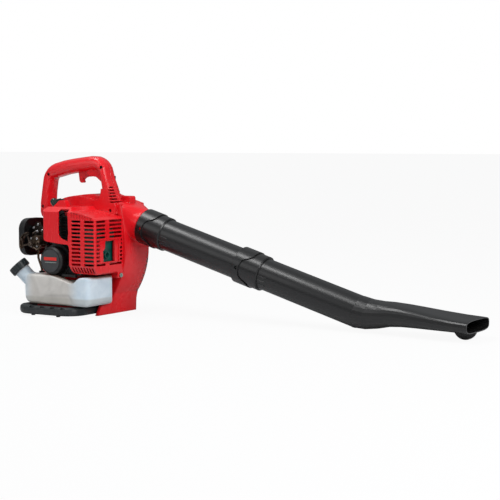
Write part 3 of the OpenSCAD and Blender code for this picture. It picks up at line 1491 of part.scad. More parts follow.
fin_x = 925;
module flat_nozzle() {
    s0 = s_off + socket_pitch;
    bend_s = (bend_x - duct_x) / cos(duct_drop);
    color(BLACK) difference() {
        union() {
            socket_outer(s0);
            along_duct(s0 + socket_len - 3)
                cylinder(r = nozzle_r, h = bend_s - s0 - socket_len + 7, $fn = 96);
            grip_ribs(s0 + socket_len - 0.5, nozzle_r);
            nozzle_loft(0);
            // Half-round rest under the mouth
            intersection() {
                ycyl(fin_x, -3, 25, 25, 6, fn = 64);
                translate([fin_x - 30, -4, 0]) cube([mouth_x - fin_x + 29, 8, 22]);
            }
        }
        socket_bore(s0);
        along_duct(s0 + 5) cylinder(r = nozzle_r - tube_wall, h = bend_s - s0 - 3, $fn = 96);
        nozzle_loft(tube_wall);
    }
}

volute_case();
volute_cover();
intake_guard();
guard_screws();
case_screws();
fan_impeller();
fan_nut();
flywheel();
crankshaft();
connecting_rod();
crankpin();
piston();
piston_pin();
crank_bearings();
oil_seals();
crankcase();
cylinder_barrel();  // cylinder
muffler();
muffler_gasket();
spark_plug();
plug_cap();
ht_lead();
ignition_coil();
engine_cover();
cover_screws();
starter_housing();
starter_badge();
starter_pulley();
recoil_spring();
starter_rope();
starter_grip();
intake_insulator();
carburetor();
throttle_cam();
primer_bulb();
air_cleaner_case();
filter_element();
air_cleaner_cover();
cleaner_knob();
choke_lever();
fuel_tank();
fuel_cap();
fuel_cap_seal();
fuel_line();
fuel_grommet();
skid();
skid_pads();
skid_screws();
handle_left();
handle_right();
handle_screws();
trigger();
trigger_pin();
trigger_spring();
stop_switch();
throttle_cable();
blower_tube();
flat_nozzle();
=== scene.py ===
"""Dresses the handheld leaf blower: finishes for every moulded, cast and plated piece,
and the finer pieces that stand for or lie on the solids of the frame."""

import math

import bmesh
import bpy
import numpy as np
from mathutils import Matrix, Vector


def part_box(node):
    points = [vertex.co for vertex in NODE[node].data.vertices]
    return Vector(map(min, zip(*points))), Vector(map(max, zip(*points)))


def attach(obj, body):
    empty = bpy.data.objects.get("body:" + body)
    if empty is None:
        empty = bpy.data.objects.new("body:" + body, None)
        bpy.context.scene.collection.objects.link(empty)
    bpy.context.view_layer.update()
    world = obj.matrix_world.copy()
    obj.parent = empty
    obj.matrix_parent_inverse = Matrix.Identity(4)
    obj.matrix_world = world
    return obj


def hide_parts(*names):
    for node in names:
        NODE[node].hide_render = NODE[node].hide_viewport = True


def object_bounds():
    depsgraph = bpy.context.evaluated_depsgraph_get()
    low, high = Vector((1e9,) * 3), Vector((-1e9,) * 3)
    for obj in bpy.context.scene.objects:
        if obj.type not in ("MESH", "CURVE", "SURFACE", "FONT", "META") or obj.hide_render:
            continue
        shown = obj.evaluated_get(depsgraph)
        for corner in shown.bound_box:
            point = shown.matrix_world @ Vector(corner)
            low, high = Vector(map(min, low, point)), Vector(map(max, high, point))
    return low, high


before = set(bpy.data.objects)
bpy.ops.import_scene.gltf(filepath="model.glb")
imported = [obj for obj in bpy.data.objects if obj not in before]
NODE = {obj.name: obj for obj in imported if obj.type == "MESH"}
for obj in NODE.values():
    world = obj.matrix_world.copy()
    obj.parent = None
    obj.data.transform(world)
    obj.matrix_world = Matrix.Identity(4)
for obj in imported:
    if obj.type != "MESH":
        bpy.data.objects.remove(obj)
cad_box = [list(map(float, corner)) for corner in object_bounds()]

# ---------------------------------------------------------------- finishes


class Finish:
    """A shader built from its own object-space noises. Every helper returns a socket."""

    def __init__(self, name):
        self.material = bpy.data.materials.new(name)
        self.material.use_nodes = True
        self.tree = self.material.node_tree
        self.tree.nodes.clear()
        self.out = self.tree.nodes.new("ShaderNodeOutputMaterial")
        self.shader = self.tree.nodes.new("ShaderNodeBsdfPrincipled")
        self.wire(self.shader.outputs["BSDF"], self.out.inputs["Surface"])
        self.place = self.tree.nodes.new("ShaderNodeTexCoord").outputs["Object"]

    def wire(self, source, target):
        self.tree.links.new(source, target)

    def set(self, **values):
        """Plain numbers on the shader's own sockets."""
        for key, value in values.items():
            socket = self.shader.inputs[key.replace("_", " ")]
            socket.default_value = value
        return self

    def math(self, kind, a, b=None):
        """One of the math node's operations on sockets or plain numbers."""
        node = self.tree.nodes.new("ShaderNodeMath")
        node.operation = kind
        for slot, value in enumerate((a, b)):
            if value is None:
                continue
            if isinstance(value, (int, float)):
                node.inputs[slot].default_value = value
            else:
                self.wire(value, node.inputs[slot])
        return node.outputs[0]

    def axis(self, letter):
        """One coordinate of the point, in metres."""
        node = self.tree.nodes.new("ShaderNodeSeparateXYZ")
        self.wire(self.place, node.inputs[0])
        return node.outputs[letter]

    def stretch(self, scale, turn=(0, 0, 0)):
        """The place turned and scaled, for grain that runs one way."""
        node = self.tree.nodes.new("ShaderNodeMapping")
        node.inputs["Scale"].default_value = scale
        node.inputs["Rotation"].default_value = turn
        self.wire(self.place, node.inputs["Vector"])
        return node.outputs[0]

    def cloud(self, scale, detail=4.0, rough=0.55, at=None, twist=0.0):
        """Noise from 0 to 1; scale is in cycles to the metre."""
        node = self.tree.nodes.new("ShaderNodeTexNoise")
        node.inputs["Scale"].default_value = scale
        node.inputs["Detail"].default_value = detail
        node.inputs["Roughness"].default_value = rough
        node.inputs["Distortion"].default_value = twist
        self.wire(at or self.place, node.inputs["Vector"])
        return node.outputs["Fac"]

    def cells(self, scale):
        """Voronoi distance, for pebbled grain, casting skin and foam pores."""
        node = self.tree.nodes.new("ShaderNodeTexVoronoi")
        node.inputs["Scale"].default_value = scale
        self.wire(self.place, node.inputs["Vector"])
        return node.outputs["Distance"]

    def span(self, value, low, high, to_low=0.0, to_high=1.0, smooth=False):
        """The value carried from one range to another, held at the ends."""
        node = self.tree.nodes.new("ShaderNodeMapRange")
        node.interpolation_type = "SMOOTHSTEP" if smooth else "LINEAR"
        self.wire(value, node.inputs["Value"])
        limits = {"From Min": low, "From Max": high, "To Min": to_low, "To Max": to_high}
        for key, number in limits.items():
            node.inputs[key].default_value = number
        return node.outputs[0]

    def blend(self, amount, one, other):
        """One colour mixed with another."""
        node = self.tree.nodes.new("ShaderNodeMix")
        node.data_type = "RGBA"
        if isinstance(amount, (int, float)):
            node.inputs["Factor"].default_value = amount
        else:
            self.wire(amount, node.inputs["Factor"])
        for slot, colour in (("A", one), ("B", other)):
            socket = [s for s in node.inputs if s.name == slot and s.type == "RGBA"][0]
            if isinstance(colour, (tuple, list)):
                socket.default_value = (*colour, 1.0)
            else:
                self.wire(colour, socket)
        return [s for s in node.outputs if s.type == "RGBA"][0]

    def colour(self, source):
        self.wire(source, self.shader.inputs["Base Color"])
        return self

    def roughness(self, source):
        self.wire(source, self.shader.inputs["Roughness"])
        return self

    def relief(self, height, depth, strength=1.0):
        """A bump of that depth in metres, on top of the bumps given before it."""
        node = self.tree.nodes.new("ShaderNodeBump")
        node.inputs["Distance"].default_value = depth
        node.inputs["Strength"].default_value = strength
        self.wire(height, node.inputs["Height"])
        last = self.shader.inputs["Normal"]
        if last.is_linked:
            self.wire(last.links[0].from_socket, node.inputs["Normal"])
        self.wire(node.outputs[0], last)
        return self

    def hollow_shade_mask(self, reach, low, high):
        """1 on open skin and 0 deep in slots and inside shells, by how much lies within that reach; the mask
        for painted shade.
        """
        node = self.tree.nodes.new("ShaderNodeAmbientOcclusion")
        node.samples = 8
        node.inputs["Distance"].default_value = reach
        return self.span(node.outputs["AO"], low, high, smooth=True)

    def soft_edges(self, radius):
        """Edges lit as if rounded by that radius, as a mould or a tumbler leaves them."""
        node = self.tree.nodes.new("ShaderNodeBevel")
        node.samples = 6
        node.inputs["Radius"].default_value = radius
        self.wire(node.outputs[0], self.shader.inputs["Normal"])
        return self


def linear(red, green, blue):
    """A colour given as screen values from 0 to 255, as the shader wants it."""
    screen = (red, green, blue)
    return tuple(((c / 255 + 0.055) / 1.055) ** 2.4 if c > 10 else c / 255 / 12.92 for c in screen)


def moulded(name, base, deep, rough=(0.24, 0.36), grain=0.0, swirl=9.0, coat=0.0, edge=0.0011, shine=0.4,
            shade=0.0):
    """Injection-moulded plastic: faint flow swirls in the colour, an uneven gloss, a slight sink in the wall,
    fine rub marks, dust low down, and where asked a spark-eroded grain and painted shade darkening the
    hollows."""
    dust_colour = linear(150, 140, 128)
    # near-black painted shade for slots and hollows
    painted_hollow_shade = (0.004, 0.003, 0.003)
    f = Finish(name).soft_edges(edge)
    flow = f.cloud(swirl, 3.0, 0.5, twist=1.2)
    rub = f.cloud(420.0, 5.0, 0.7, f.stretch((1.0, 0.35, 0.12), (0.3, 0.5, 0.2)))
    low = f.span(f.axis("Z"), 0.0, 0.05, 0.35, 0.0, smooth=True)
    tint = f.blend(f.span(flow, 0.3, 0.75, 0.0, 0.55), base, deep)
    dust = f.math("MULTIPLY", low, f.span(f.cloud(60.0, 6.0, 0.65), 0.45, 0.8))
    tint = f.blend(f.math("MULTIPLY", dust, 0.2), tint, dust_colour)
    # painted shade: slots and hollows blended to near black by how enclosed they are
    if shade:
        tint = f.blend(f.hollow_shade_mask(shade, 0.22, 0.5), painted_hollow_shade, tint)
    f.colour(tint)
    gloss = f.math("ADD", f.span(flow, 0.25, 0.8, rough[0], rough[1]), f.span(rub, 0.55, 0.8, 0.0, 0.1))
    f.roughness(f.math("ADD", gloss, f.math("MULTIPLY", dust, 0.3)))
    f.relief(f.cloud(38.0, 2.0, 0.4), 0.00005)
    if grain:
        f.relief(f.cells(1500.0), grain)
    else:
        f.relief(f.cloud(900.0, 2.0, 0.5), 0.00001)
    f.set(Specular_IOR_Level=shine, Coat_Weight=coat, Coat_Roughness=0.1)
    return f.material


def cast(name, base, deep, rough=(0.42, 0.6)):
    """Die-cast alloy: a pebbled skin, soft stains and brighter rubbed spots."""
    f = Finish(name).soft_edges(0.0009)
    stain = f.cloud(45.0, 6.0, 0.6, twist=0.6)
    f.colour(f.blend(f.span(stain, 0.38, 0.68), base, deep))
    f.roughness(f.span(f.cloud(160.0, 4.0, 0.6), 0.3, 0.7, *rough))
    f.relief(f.cells(1100.0), 0.00012, 0.6)
    f.relief(f.cloud(300.0, 3.0, 0.6), 0.00008, 0.6)
    f.set(Metallic=1.0)
    return f.material


def plated(name, base, rough):
    """Turned or drawn steel: fine lines one way, a slight colour drift and handling marks."""
    f = Finish(name).soft_edges(0.0004)
    lines = f.cloud(700.0, 3.0, 0.6, f.stretch((1.0, 1.0, 0.05)))
    drift = f.cloud(35.0, 3.0, 0.5)
    f.colour(f.blend(f.span(drift, 0.3, 0.75, 0.0, 0.5), base, tuple(c * 0.7 for c in base)))
    f.roughness(f.span(lines, 0.3, 0.7, *rough))
    f.relief(lines, 0.000015)
    f.set(Metallic=1.0)
    return f.material


def rubber(name, base):
    """Matt rubber: a dusty bloom in patches over a fine grain."""
    f = Finish(name).soft_edges(0.0008)
    bloom = f.cloud(70.0, 5.0, 0.6)
    f.colour(f.blend(f.span(bloom, 0.45, 0.8, 0.0, 0.45), base, tuple(c * 1.9 + 0.01 for c in base)))
    f.roughness(f.span(bloom, 0.3, 0.7, 0.55, 0.75))
    f.relief(f.cells(1800.0), 0.00004, 0.7)
    f.set(Specular_IOR_Level=0.35)
    return f.material


def milky_tank():
    """Blow-moulded polyethylene: milky, slightly see-through, warm in the middle and cool at both ends, with
    the fuel's level as a faint darker band, cloudy wall thickness and a fine leathery skin."""
    fuel_top = 0.043
    middle_x = -0.002
    f = Finish("milky_polyethylene").soft_edges(0.003)
    wall = f.cloud(26.0, 4.0, 0.55, twist=0.8)
    level = f.span(f.axis("Z"), fuel_top - 0.003, fuel_top + 0.003, 1.0, 0.0, smooth=True)
    from_middle = f.math("ABSOLUTE", f.math("SUBTRACT", f.axis("X"), middle_x))
    ends = f.span(from_middle, 0.045, 0.085, smooth=True)
    warm = f.blend(f.span(wall, 0.3, 0.7), linear(208, 205, 200), linear(186, 183, 178))
    cool = f.blend(f.span(wall, 0.3, 0.7), linear(216, 228, 236), linear(192, 208, 220))
    body = f.blend(ends, warm, cool)
    shadow = f.hollow_shade_mask(0.03, 0.3, 0.8)
    body = f.blend(shadow, linear(140, 120, 108), body)
    f.colour(f.blend(f.math("MULTIPLY", level, 0.5), body, linear(160, 158, 148)))
    f.roughness(f.span(wall, 0.3, 0.7, 0.34, 0.48))
    f.relief(f.cloud(55.0, 3.0, 0.5), 0.0005)
    f.relief(f.cells(900.0), 0.00006, 0.5)
    f.set(Subsurface_Weight=0.35, Subsurface_Scale=0.006, Specular_IOR_Level=0.5)
    f.shader.inputs["Subsurface Radius"].default_value = (1.0, 1.0, 0.95)
    return f.material


def enamel(name, base, deep, rough=(0.3, 0.45)):
    """Baked paint on a hot part: a thin sprayed skin with orange peel, burnt darker in clouds."""
    f = Finish(name).soft_edges(0.001)
    burnt = f.cloud(38.0, 5.0, 0.6, twist=0.8)
    f.colour(f.blend(f.span(burnt, 0.35, 0.72), base, deep))
    f.roughness(f.span(f.cloud(120.0, 4.0, 0.6), 0.3, 0.7, *rough))
    f.relief(f.cells(700.0), 0.00006, 0.6)
    f.set(Specular_IOR_Level=0.5)
    return f.material


def striped_badge():
    """The starter's face plate: satin grey, with its two raised stripes picked out in red and pale grey."""
    f = Finish("starter_face_plate").soft_edges(0.0003)
    low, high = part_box("starter_badge")
    raised = f.math("LESS_THAN", f.axis("Y"), low[1] + 0.0002)
    upper = f.math("GREATER_THAN", f.axis("Z"), (low[2] + high[2]) / 2)
    mist = f.cloud(90.0, 4.0, 0.6)
    plate = f.blend(f.span(mist, 0.3, 0.75), linear(54, 55, 57), linear(46, 47, 49))
    paint = f.blend(upper, linear(150, 160, 156), linear(214, 34, 26))
    f.colour(f.blend(raised, plate, paint))
    f.roughness(f.span(f.cloud(300.0, 3.0, 0.6), 0.3, 0.7, 0.36, 0.5))
    f.relief(f.cells(1600.0), 0.00003)
    return f.material


def foam():
    """Open-cell filter foam: dark pores between lighter threads."""
    f = Finish("filter_foam")
    pores = f.cells(900.0)
    f.colour(f.blend(f.span(pores, 0.1, 0.6), (0.005, 0.006, 0.006), linear(62, 70, 62)))
    f.roughness(f.span(pores, 0.0, 0.8, 0.95, 0.8))
    f.relief(pores, 0.0006)
    return f.material


def bulb_rubber():
    """Smoky clear rubber of the primer bulb."""
    f = Finish("primer_bulb_rubber")
    haze = f.cloud(220.0, 3.0, 0.5)
    f.colour(f.blend(f.span(haze, 0.3, 0.7), linear(84, 64, 58), linear(52, 40, 38)))
    f.roughness(f.span(haze, 0.3, 0.7, 0.2, 0.34))
    f.relief(haze, 0.00005)
    f.set(Transmission_Weight=0.35, IOR=1.45)
    return f.material


def braided(name, base, other):
    """Braided cord: two sets of crossing diagonals, 520 to the metre."""
    turns = 520.0 * 6.28
    f = Finish(name)
    one = f.math("SINE", f.math("MULTIPLY", f.math("ADD", f.axis("Y"), f.axis("Z")), turns))
    two = f.math("SINE", f.math("MULTIPLY", f.math("SUBTRACT", f.axis("Y"), f.axis("Z")), turns))
    weave = f.math("MULTIPLY", one, two)
    f.colour(f.blend(f.span(weave, -1.0, 1.0), base, other))
    f.roughness(f.span(weave, -1.0, 1.0, 0.85, 0.65))
    f.relief(weave, 0.0002)
    return f.material


RED = linear(226, 22, 32)
DEEP_RED = linear(202, 14, 24)
red_shell = moulded("red_shell_plastic", RED, DEEP_RED, (0.2, 0.3), coat=0.2, edge=0.0013, shade=0.03)
red_casing = moulded("red_casing_plastic", RED, DEEP_RED, (0.24, 0.34), coat=0.1, edge=0.005, shine=0.3)
red_handle = moulded("red_handle_plastic", RED, DEEP_RED, (0.2, 0.3), coat=0.2, edge=0.003)
red_trigger = moulded("red_trigger_plastic", linear(214, 24, 32), linear(186, 14, 22), (0.28, 0.4),
                      swirl=30.0)
tube_black = moulded("black_tube_plastic", linear(16, 16, 17), linear(11, 11, 12), (0.27, 0.36),
                     swirl=5.0, shine=0.5)
satin_black = moulded("satin_black_plastic", linear(13, 13, 14), linear(9, 9, 10), (0.36, 0.5),
                      grain=0.00003, swirl=20.0)
graphite = moulded("graphite_skid_plastic", linear(37, 41, 43), linear(26, 30, 32), (0.34, 0.5),
                   grain=0.00004, swirl=14.0)
cap_grey = moulded("dark_cap_plastic", linear(32, 40, 42), linear(23, 30, 32), (0.26, 0.4),
                   grain=0.00003, swirl=25.0)
fan_grey = moulded("fan_plastic", linear(40, 42, 44), linear(28, 30, 32), (0.4, 0.55), grain=0.00003)
green_cap = moulded("dark_green_rubber_cap", linear(8, 32, 24), linear(5, 18, 14), (0.22, 0.32),
                    swirl=40.0, coat=0.1)
bright_alloy = cast("bright_die_casting", (0.60, 0.60, 0.61), (0.42, 0.42, 0.43))
stained_alloy = cast("stained_die_casting", linear(112, 98, 84), linear(58, 48, 42))
bronze_lever = cast("bronzed_lever", linear(96, 84, 76), linear(50, 44, 40), (0.3, 0.45))
pale_bronze = cast("pale_bronze_wire", linear(132, 116, 102), linear(84, 72, 64), (0.3, 0.42))
green_barrel = enamel("green_barrel_paint", linear(5, 44, 39), linear(4, 22, 20), (0.45, 0.6))
green_muffler = enamel("green_muffler_enamel", linear(8, 88, 78), linear(5, 54, 50))
dull_steel = plated("dull_plated_steel", (0.42, 0.42, 0.43), (0.3, 0.48))
dark_screw = plated("blackened_screw", linear(52, 50, 52), (0.3, 0.45))
green_zinc = plated("green_passivated_zinc", linear(168, 196, 184), (0.24, 0.38))
bright_steel = plated("bright_ground_steel", (0.62, 0.62, 0.63), (0.14, 0.26))
black_rubber = rubber("black_rubber", linear(24, 24, 24))
tank_white = milky_tank()
hose_brown = moulded("clear_brown_hose", linear(112, 92, 74), linear(78, 60, 46), (0.2, 0.3), swirl=60.0)
filter_foam = foam()
dark_bulb = bulb_rubber()
face_plate = striped_badge()
starter_cord = braided("starter_cord", linear(40, 40, 40), linear(90, 90, 90))

FINISHES = {
    red_shell: "engine_cover",
    red_casing: "volute_case volute_cover",
    red_handle: "handle_left handle_right",
    red_trigger: "trigger",
    tube_black: "blower_tube flat_nozzle",
    satin_black: "intake_guard starter_housing starter_pulley starter_grip intake_insulator air_cleaner_case "
    "air_cleaner_cover cleaner_knob stop_switch ignition_coil muffler_gasket crankcase",
    face_plate: "starter_badge",
    graphite: "skid",
    cap_grey: "fuel_cap",
    fan_grey: "fan_impeller",
    bright_alloy: "flywheel piston throttle_cam",
    green_barrel: "cylinder",
    green_muffler: "muffler",
    stained_alloy: "carburetor",
    bronze_lever: "choke_lever",
    dull_steel: "guard_screws case_screws fan_nut skid_screws recoil_spring trigger_spring",
    dark_screw: "handle_screws spark_plug",
    green_zinc: "cover_screws",
    bright_steel: "crankshaft connecting_rod crankpin piston_pin crank_bearings trigger_pin",
    green_cap: "plug_cap",
    black_rubber: "oil_seals ht_lead fuel_cap_seal fuel_grommet skid_pads throttle_cable",
    tank_white: "fuel_tank",
    hose_brown: "fuel_line",
    filter_foam: "filter_element",
    dark_bulb: "primer_bulb",
    starter_cord: "starter_rope",
}
for finish, names in FINISHES.items():
    for name in names.split():
        slots = NODE[name].data.materials
        slots.clear()
        slots.append(finish)

# ---------------------------------------------------------------- surfaces

# Rounding of the stamped pieces' edges
EDGE_ROUND = 0.0003


def sheet_faces(rows, columns, wrap_rows=False, wrap_columns=False):
    """The quads of a grid: each point with its next ones along both parameters, wrapped where asked."""
    r = np.arange(rows if wrap_rows else rows - 1)
    c = np.arange(columns if wrap_columns else columns - 1)
    a, b = np.meshgrid(r, c, indexing="ij")
    a, b = a.ravel(), b.ravel()
    a1, b1 = (a + 1) % rows, (b + 1) % columns
    return np.stack([a * columns + b, a1 * columns + b, a1 * columns + b1, a * columns + b1], axis=1)


def piece(name, points, faces, finish, body, smooth=True, bevel=0.0):
    """A named mesh at the origin, with its normals turned outwards, riding on its body."""
    mesh = bpy.data.meshes.new(name)
    corners = np.asarray(points, float).reshape(-1, 3).tolist()
    mesh.from_pydata(corners, [], [list(map(int, face)) for face in faces])
    mesh.validate()
    work = bmesh.new()
    work.from_mesh(mesh)
    bmesh.ops.remove_doubles(work, verts=work.verts, dist=1e-7)
    bmesh.ops.recalc_face_normals(work, faces=work.faces)
    work.to_mesh(mesh)
    work.free()
    mesh.polygons.foreach_set("use_smooth", [smooth] * len(mesh.polygons))
    obj = bpy.data.objects.new(name, mesh)
    bpy.context.scene.collection.objects.link(obj)
    mesh.materials.append(finish)
    if smooth:
        mesh.set_sharp_from_angle(angle=math.radians(38))
    if bevel:
        soft = obj.modifiers.new("rounded_edges", "BEVEL")
        soft.width = bevel
        soft.segments = 2
        soft.limit_method = "ANGLE"
        soft.angle_limit = math.radians(35)
    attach(obj, body)
    return obj


def square_to(axis):
    """Two unit vectors square to an axis and to each other."""
    axis = np.asarray(axis, float)
    axis = axis / np.linalg.norm(axis)
    helper = np.array([0.0, 0.0, 1.0]) if abs(axis[2]) < 0.9 else np.array([1.0, 0.0, 0.0])
    one = np.cross(axis, helper)
    one /= np.linalg.norm(one)
    return axis, one, np.cross(axis, one)


def turned(name, profile, foot, axis, finish, body, sides):
    """A profile of (radius, height) carried round an axis: p(t, i) = foot + height_i * axis
    + radius_i * (cos t * u + sin t * v). Ends are closed by discs."""
    axis, u, v = square_to(axis)
    radius, height = np.asarray(profile, float).T
    t = np.linspace(0, 2 * np.pi, sides, endpoint=False)
    ring = np.cos(t)[:, None] * u + np.sin(t)[:, None] * v
    points = (np.asarray(foot, float) + height[:, None, None] * axis
              + radius[:, None, None] * ring[None])
    faces = list(sheet_faces(len(radius), sides, wrap_columns=True))
    last = (len(radius) - 1) * sides
    if radius[0] > 1e-6:
        faces.append(np.arange(sides)[::-1])
    if radius[-1] > 1e-6:
        faces.append(np.arange(last, last + sides))
    return piece(name, points, faces, finish, body)


def frames_along(path):
    """The path's points, and at each two unit normals carried along it with the least twist."""
    path = np.asarray(path, float)
    tangent = np.gradient(path, axis=0)
    tangent /= np.linalg.norm(tangent, axis=1)[:, None]
    one = np.zeros_like(path)
    one[0] = square_to(tangent[0])[1]
    for i in range(1, len(path)):
        side = one[i - 1] - tangent[i] * np.dot(one[i - 1], tangent[i])
        one[i] = side / np.linalg.norm(side)
    return path, one, np.cross(tangent, one)


def swept(name, path, radius, finish, body, sides):
    """A circle carried along a path: p(i, t) = path_i + radius * (cos t * n_i + sin t * b_i), ends closed."""
    path, one, two = frames_along(path)
    t = np.linspace(0, 2 * np.pi, sides, endpoint=False)
    ring = np.cos(t)[None, :, None] * one[:, None] + np.sin(t)[None, :, None] * two[:, None]
    points = path[:, None] + radius * ring
    last = (len(path) - 1) * sides
    faces = list(sheet_faces(len(path), sides, wrap_columns=True))
    faces += [np.arange(sides)[::-1], np.arange(last, last + sides)]
    return piece(name, points, faces, finish, body)


def smooth_line(points, count):
    """A Catmull-Rom curve through the points: on each span the cubic whose end slopes are half the
    difference of the neighbours, sampled evenly in the span's parameter."""
    p = np.asarray(points, float)
    p = np.vstack([2 * p[0] - p[1], p, 2 * p[-1] - p[-2]])
    spans = len(p) - 3
    s = np.linspace(0, spans - 1e-9, count)
    i = s.astype(int)
    t = (s - i)[:, None]
    a, b, c, d = p[i], p[i + 1], p[i + 2], p[i + 3]
    return 0.5 * (2 * b + (c - a) * t + (2 * a - 5 * b + 4 * c - d) * t**2 + (3 * b - a - 3 * c + d) * t**3)


def coil(foot, axis, radius, length, turns, per_turn=24):
    """The line of a spring: foot + s * length * axis + radius * (cos, sin)(2 pi * turns * s)."""
    axis, u, v = square_to(axis)
    s = np.linspace(0, 1, int(turns * per_turn))
    a = 2 * np.pi * turns * s
    return (np.asarray(foot, float) + (s * length)[:, None] * axis
            + radius * (np.cos(a)[:, None] * u + np.sin(a)[:, None] * v))


def slab(name, outline, start, along, u, v, thick, finish, body):
    """A flat plate: the outline (a, b) placed as start + a * u + b * v, and again one thickness along."""
    outline = np.asarray(outline, float)
    along, u, v, start = (np.asarray(w, float) for w in (along, u, v, start))
    low = start + outline[:, :1] * u + outline[:, 1:] * v
    n = len(outline)
    points = np.vstack([low, low + thick * along])
    i = np.arange(n)
    sides = np.stack([i, (i + 1) % n, (i + 1) % n + n, i + n], axis=1)
    faces = [i[::-1], i + n, *sides]
    return piece(name, points, faces, finish, body, smooth=False, bevel=EDGE_ROUND)


def arc_strip(name, centre, radii, angles, depth, finish, body):
    """A bent strip about a line along Y: p(a, k) = centre + r_k * (cos a, 0, sin a) + y_k * (0, 1, 0),
    with k round the four corners of the strip's section. Ends are closed."""
    a = np.radians(np.linspace(*angles, 40))
    r = np.array([radii[0], radii[1], radii[1], radii[0]])
    y = np.array([depth[0], depth[0], depth[1], depth[1]])
    points = np.empty((len(a), 4, 3))
    points[..., 0] = centre[0] + r * np.cos(a)[:, None]
    points[..., 1] = y
    points[..., 2] = centre[1] + r * np.sin(a)[:, None]
    last = 4 * (len(a) - 1)
    faces = [*sheet_faces(len(a), 4, wrap_columns=True), np.arange(4)[::-1], np.arange(last, last + 4)]
    return piece(name, points, faces, finish, body, bevel=EDGE_ROUND)


def screw_head(name, foot, axis, radius, height, finish, body="housing"):
    """A domed head with a round socket sunk in its crown."""
    r, h = radius, height
    profile = [(0, 0.3 * h), (0.4 * r, 0.35 * h), (0.45 * r, 0.95 * h), (0.62 * r, h), (0.86 * r, 0.84 * h),
               (r, 0.45 * h), (r, 0)]
    return turned(name, profile, foot, axis, finish, body, 24)


# ---------------------------------------------------------------- cords and lines


def line(name, node, route, diameter, finish):
    """A hose, lead or cable on one smooth curve through its route; both its ends go
    into the machine."""
    path = smooth_line(np.array(route) / 1000, 90)
    tube = swept(name, path, diameter / 2, finish, "housing", sides=14)
    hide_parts(node)
    return tube


line("ignition_lead", "ht_lead",
     [(-19.8, -88, 255.6), (-15, -88, 256.3), (-10, -87.6, 255.3), (-6.6, -86.4, 251.5), (-4.6, -84.4, 245.5),
      (-3.6, -81, 238.5), (-3.2, -75.5, 232), (-3.2, -68.5, 227), (-3.4, -61.5, 221.5), (-3.8, -56.5, 214.5),
      (-4, -54, 208), (-4, -54, 203)], 0.0052, black_rubber)
line("fuel_hose", "fuel_line",
     [(-64, -104, 88), (-64, -104, 98), (-65.6, -104, 105), (-70, -103.6, 114), (-75.5, -102, 125),
      (-78.5, -98, 136), (-78.5, -96, 143), (-78.5, -96, 152)], 0.0054, hose_brown)
line("throttle_wire", "throttle_cable",
     [(-16, -31, 330), (-36, -31, 327), (-56, -31, 320), (-70, -31, 314), (-79, -31, 309), (-85.5, -31,
      304.5),
      (-89.5, -31, 297), (-92.5, -31, 283), (-95, -31, 266), (-96.5, -31, 248), (-97, -31, 233),
      (-97, -34, 223), (-97, -43, 217), (-93, -49.5, 213), (-87, -56, 209.5), (-82, -62, 204.5),
      (-77, -67, 200), (-73, -71, 197)], 0.0032, black_rubber)

# ---------------------------------------------------------------- carburettor

OUT = (0, -1, 0)
chamber = (-0.067, 0.161)
chamber_face = -0.126
chamber_circle = 0.012
for number, angle in enumerate(np.radians([45, 135, 225, 315])):
    foot = (chamber[0] + chamber_circle * math.cos(angle), chamber_face,
            chamber[1] + chamber_circle * math.sin(angle))
    metal = dull_steel if number else bright_steel
    screw_head(f"chamber_screw_{number}", foot, OUT, 0.0027, 0.0019, metal)

# The stamped bracket that holds the cable's end, with its fastenings
bracket_y = -0.103
bracket_thick = 0.0016
slab("cable_bracket", [(-0.090, 0.183), (-0.055, 0.181), (-0.055, 0.192), (-0.062, 0.197), (-0.067, 0.205),
                       (-0.077, 0.206), (-0.084, 0.200), (-0.091, 0.197)],
     (0, bracket_y, 0), OUT, (1, 0, 0), (0, 0, 1), bracket_thick, bronze_lever, "housing")
bracket_screws = [(-0.0855, 0.1925, 0.0034), (-0.0722, 0.2, 0.0027), (-0.0607, 0.1875, 0.0025)]
for number, (x, z, size) in enumerate(bracket_screws):
    screw_head(f"bracket_screw_{number}", (x, bracket_y - bracket_thick, z), OUT, size, 0.0026, bright_steel)

# Mixture needles: springs under their heads
for number, (x, z) in enumerate([(-0.079, 0.180), (-0.073, 0.183)]):
    swept(f"needle_spring_{number}", coil((x, -0.1055, z), OUT, 0.003, 0.0075, 5), 0.00045, dull_steel,
          "housing", sides=6)
    screw_head(f"needle_head_{number}", (x, -0.1135, z), OUT, 0.0031, 0.0026, bronze_lever)

# Spring and bent link on the chamber's face
swept("idle_spring", coil((-0.055, -0.1245, 0.1584), OUT, 0.0044, 0.0042, 3), 0.0008, pale_bronze,
      "housing", sides=8)
link_route = [(-0.0758, -0.119, 0.1563), (-0.0758, -0.1285, 0.1563), (-0.071, -0.1295, 0.1535),
              (-0.0585, -0.1295, 0.1458), (-0.0555, -0.1295, 0.1455), (-0.0465, -0.1295, 0.1535),
              (-0.0455, -0.1285, 0.1551), (-0.0455, -0.108, 0.1555)]
swept("bent_link", smooth_line(link_route, 70), 0.0011, pale_bronze, "housing", sides=10)

# Rim of the choke lever, bent outwards
choke_axis = (-0.070, 0.158)
arc_strip("choke_lever_rim", choke_axis, (0.0258, 0.027), (98, 206), (-0.1425, -0.1368), pale_bronze,
          "choke")
screw_head("choke_pivot_screw", (choke_axis[0], -0.137, choke_axis[1]), OUT, 0.0042, 0.0026, bronze_lever,
           "choke")

# ---------------------------------------------------------------- tank


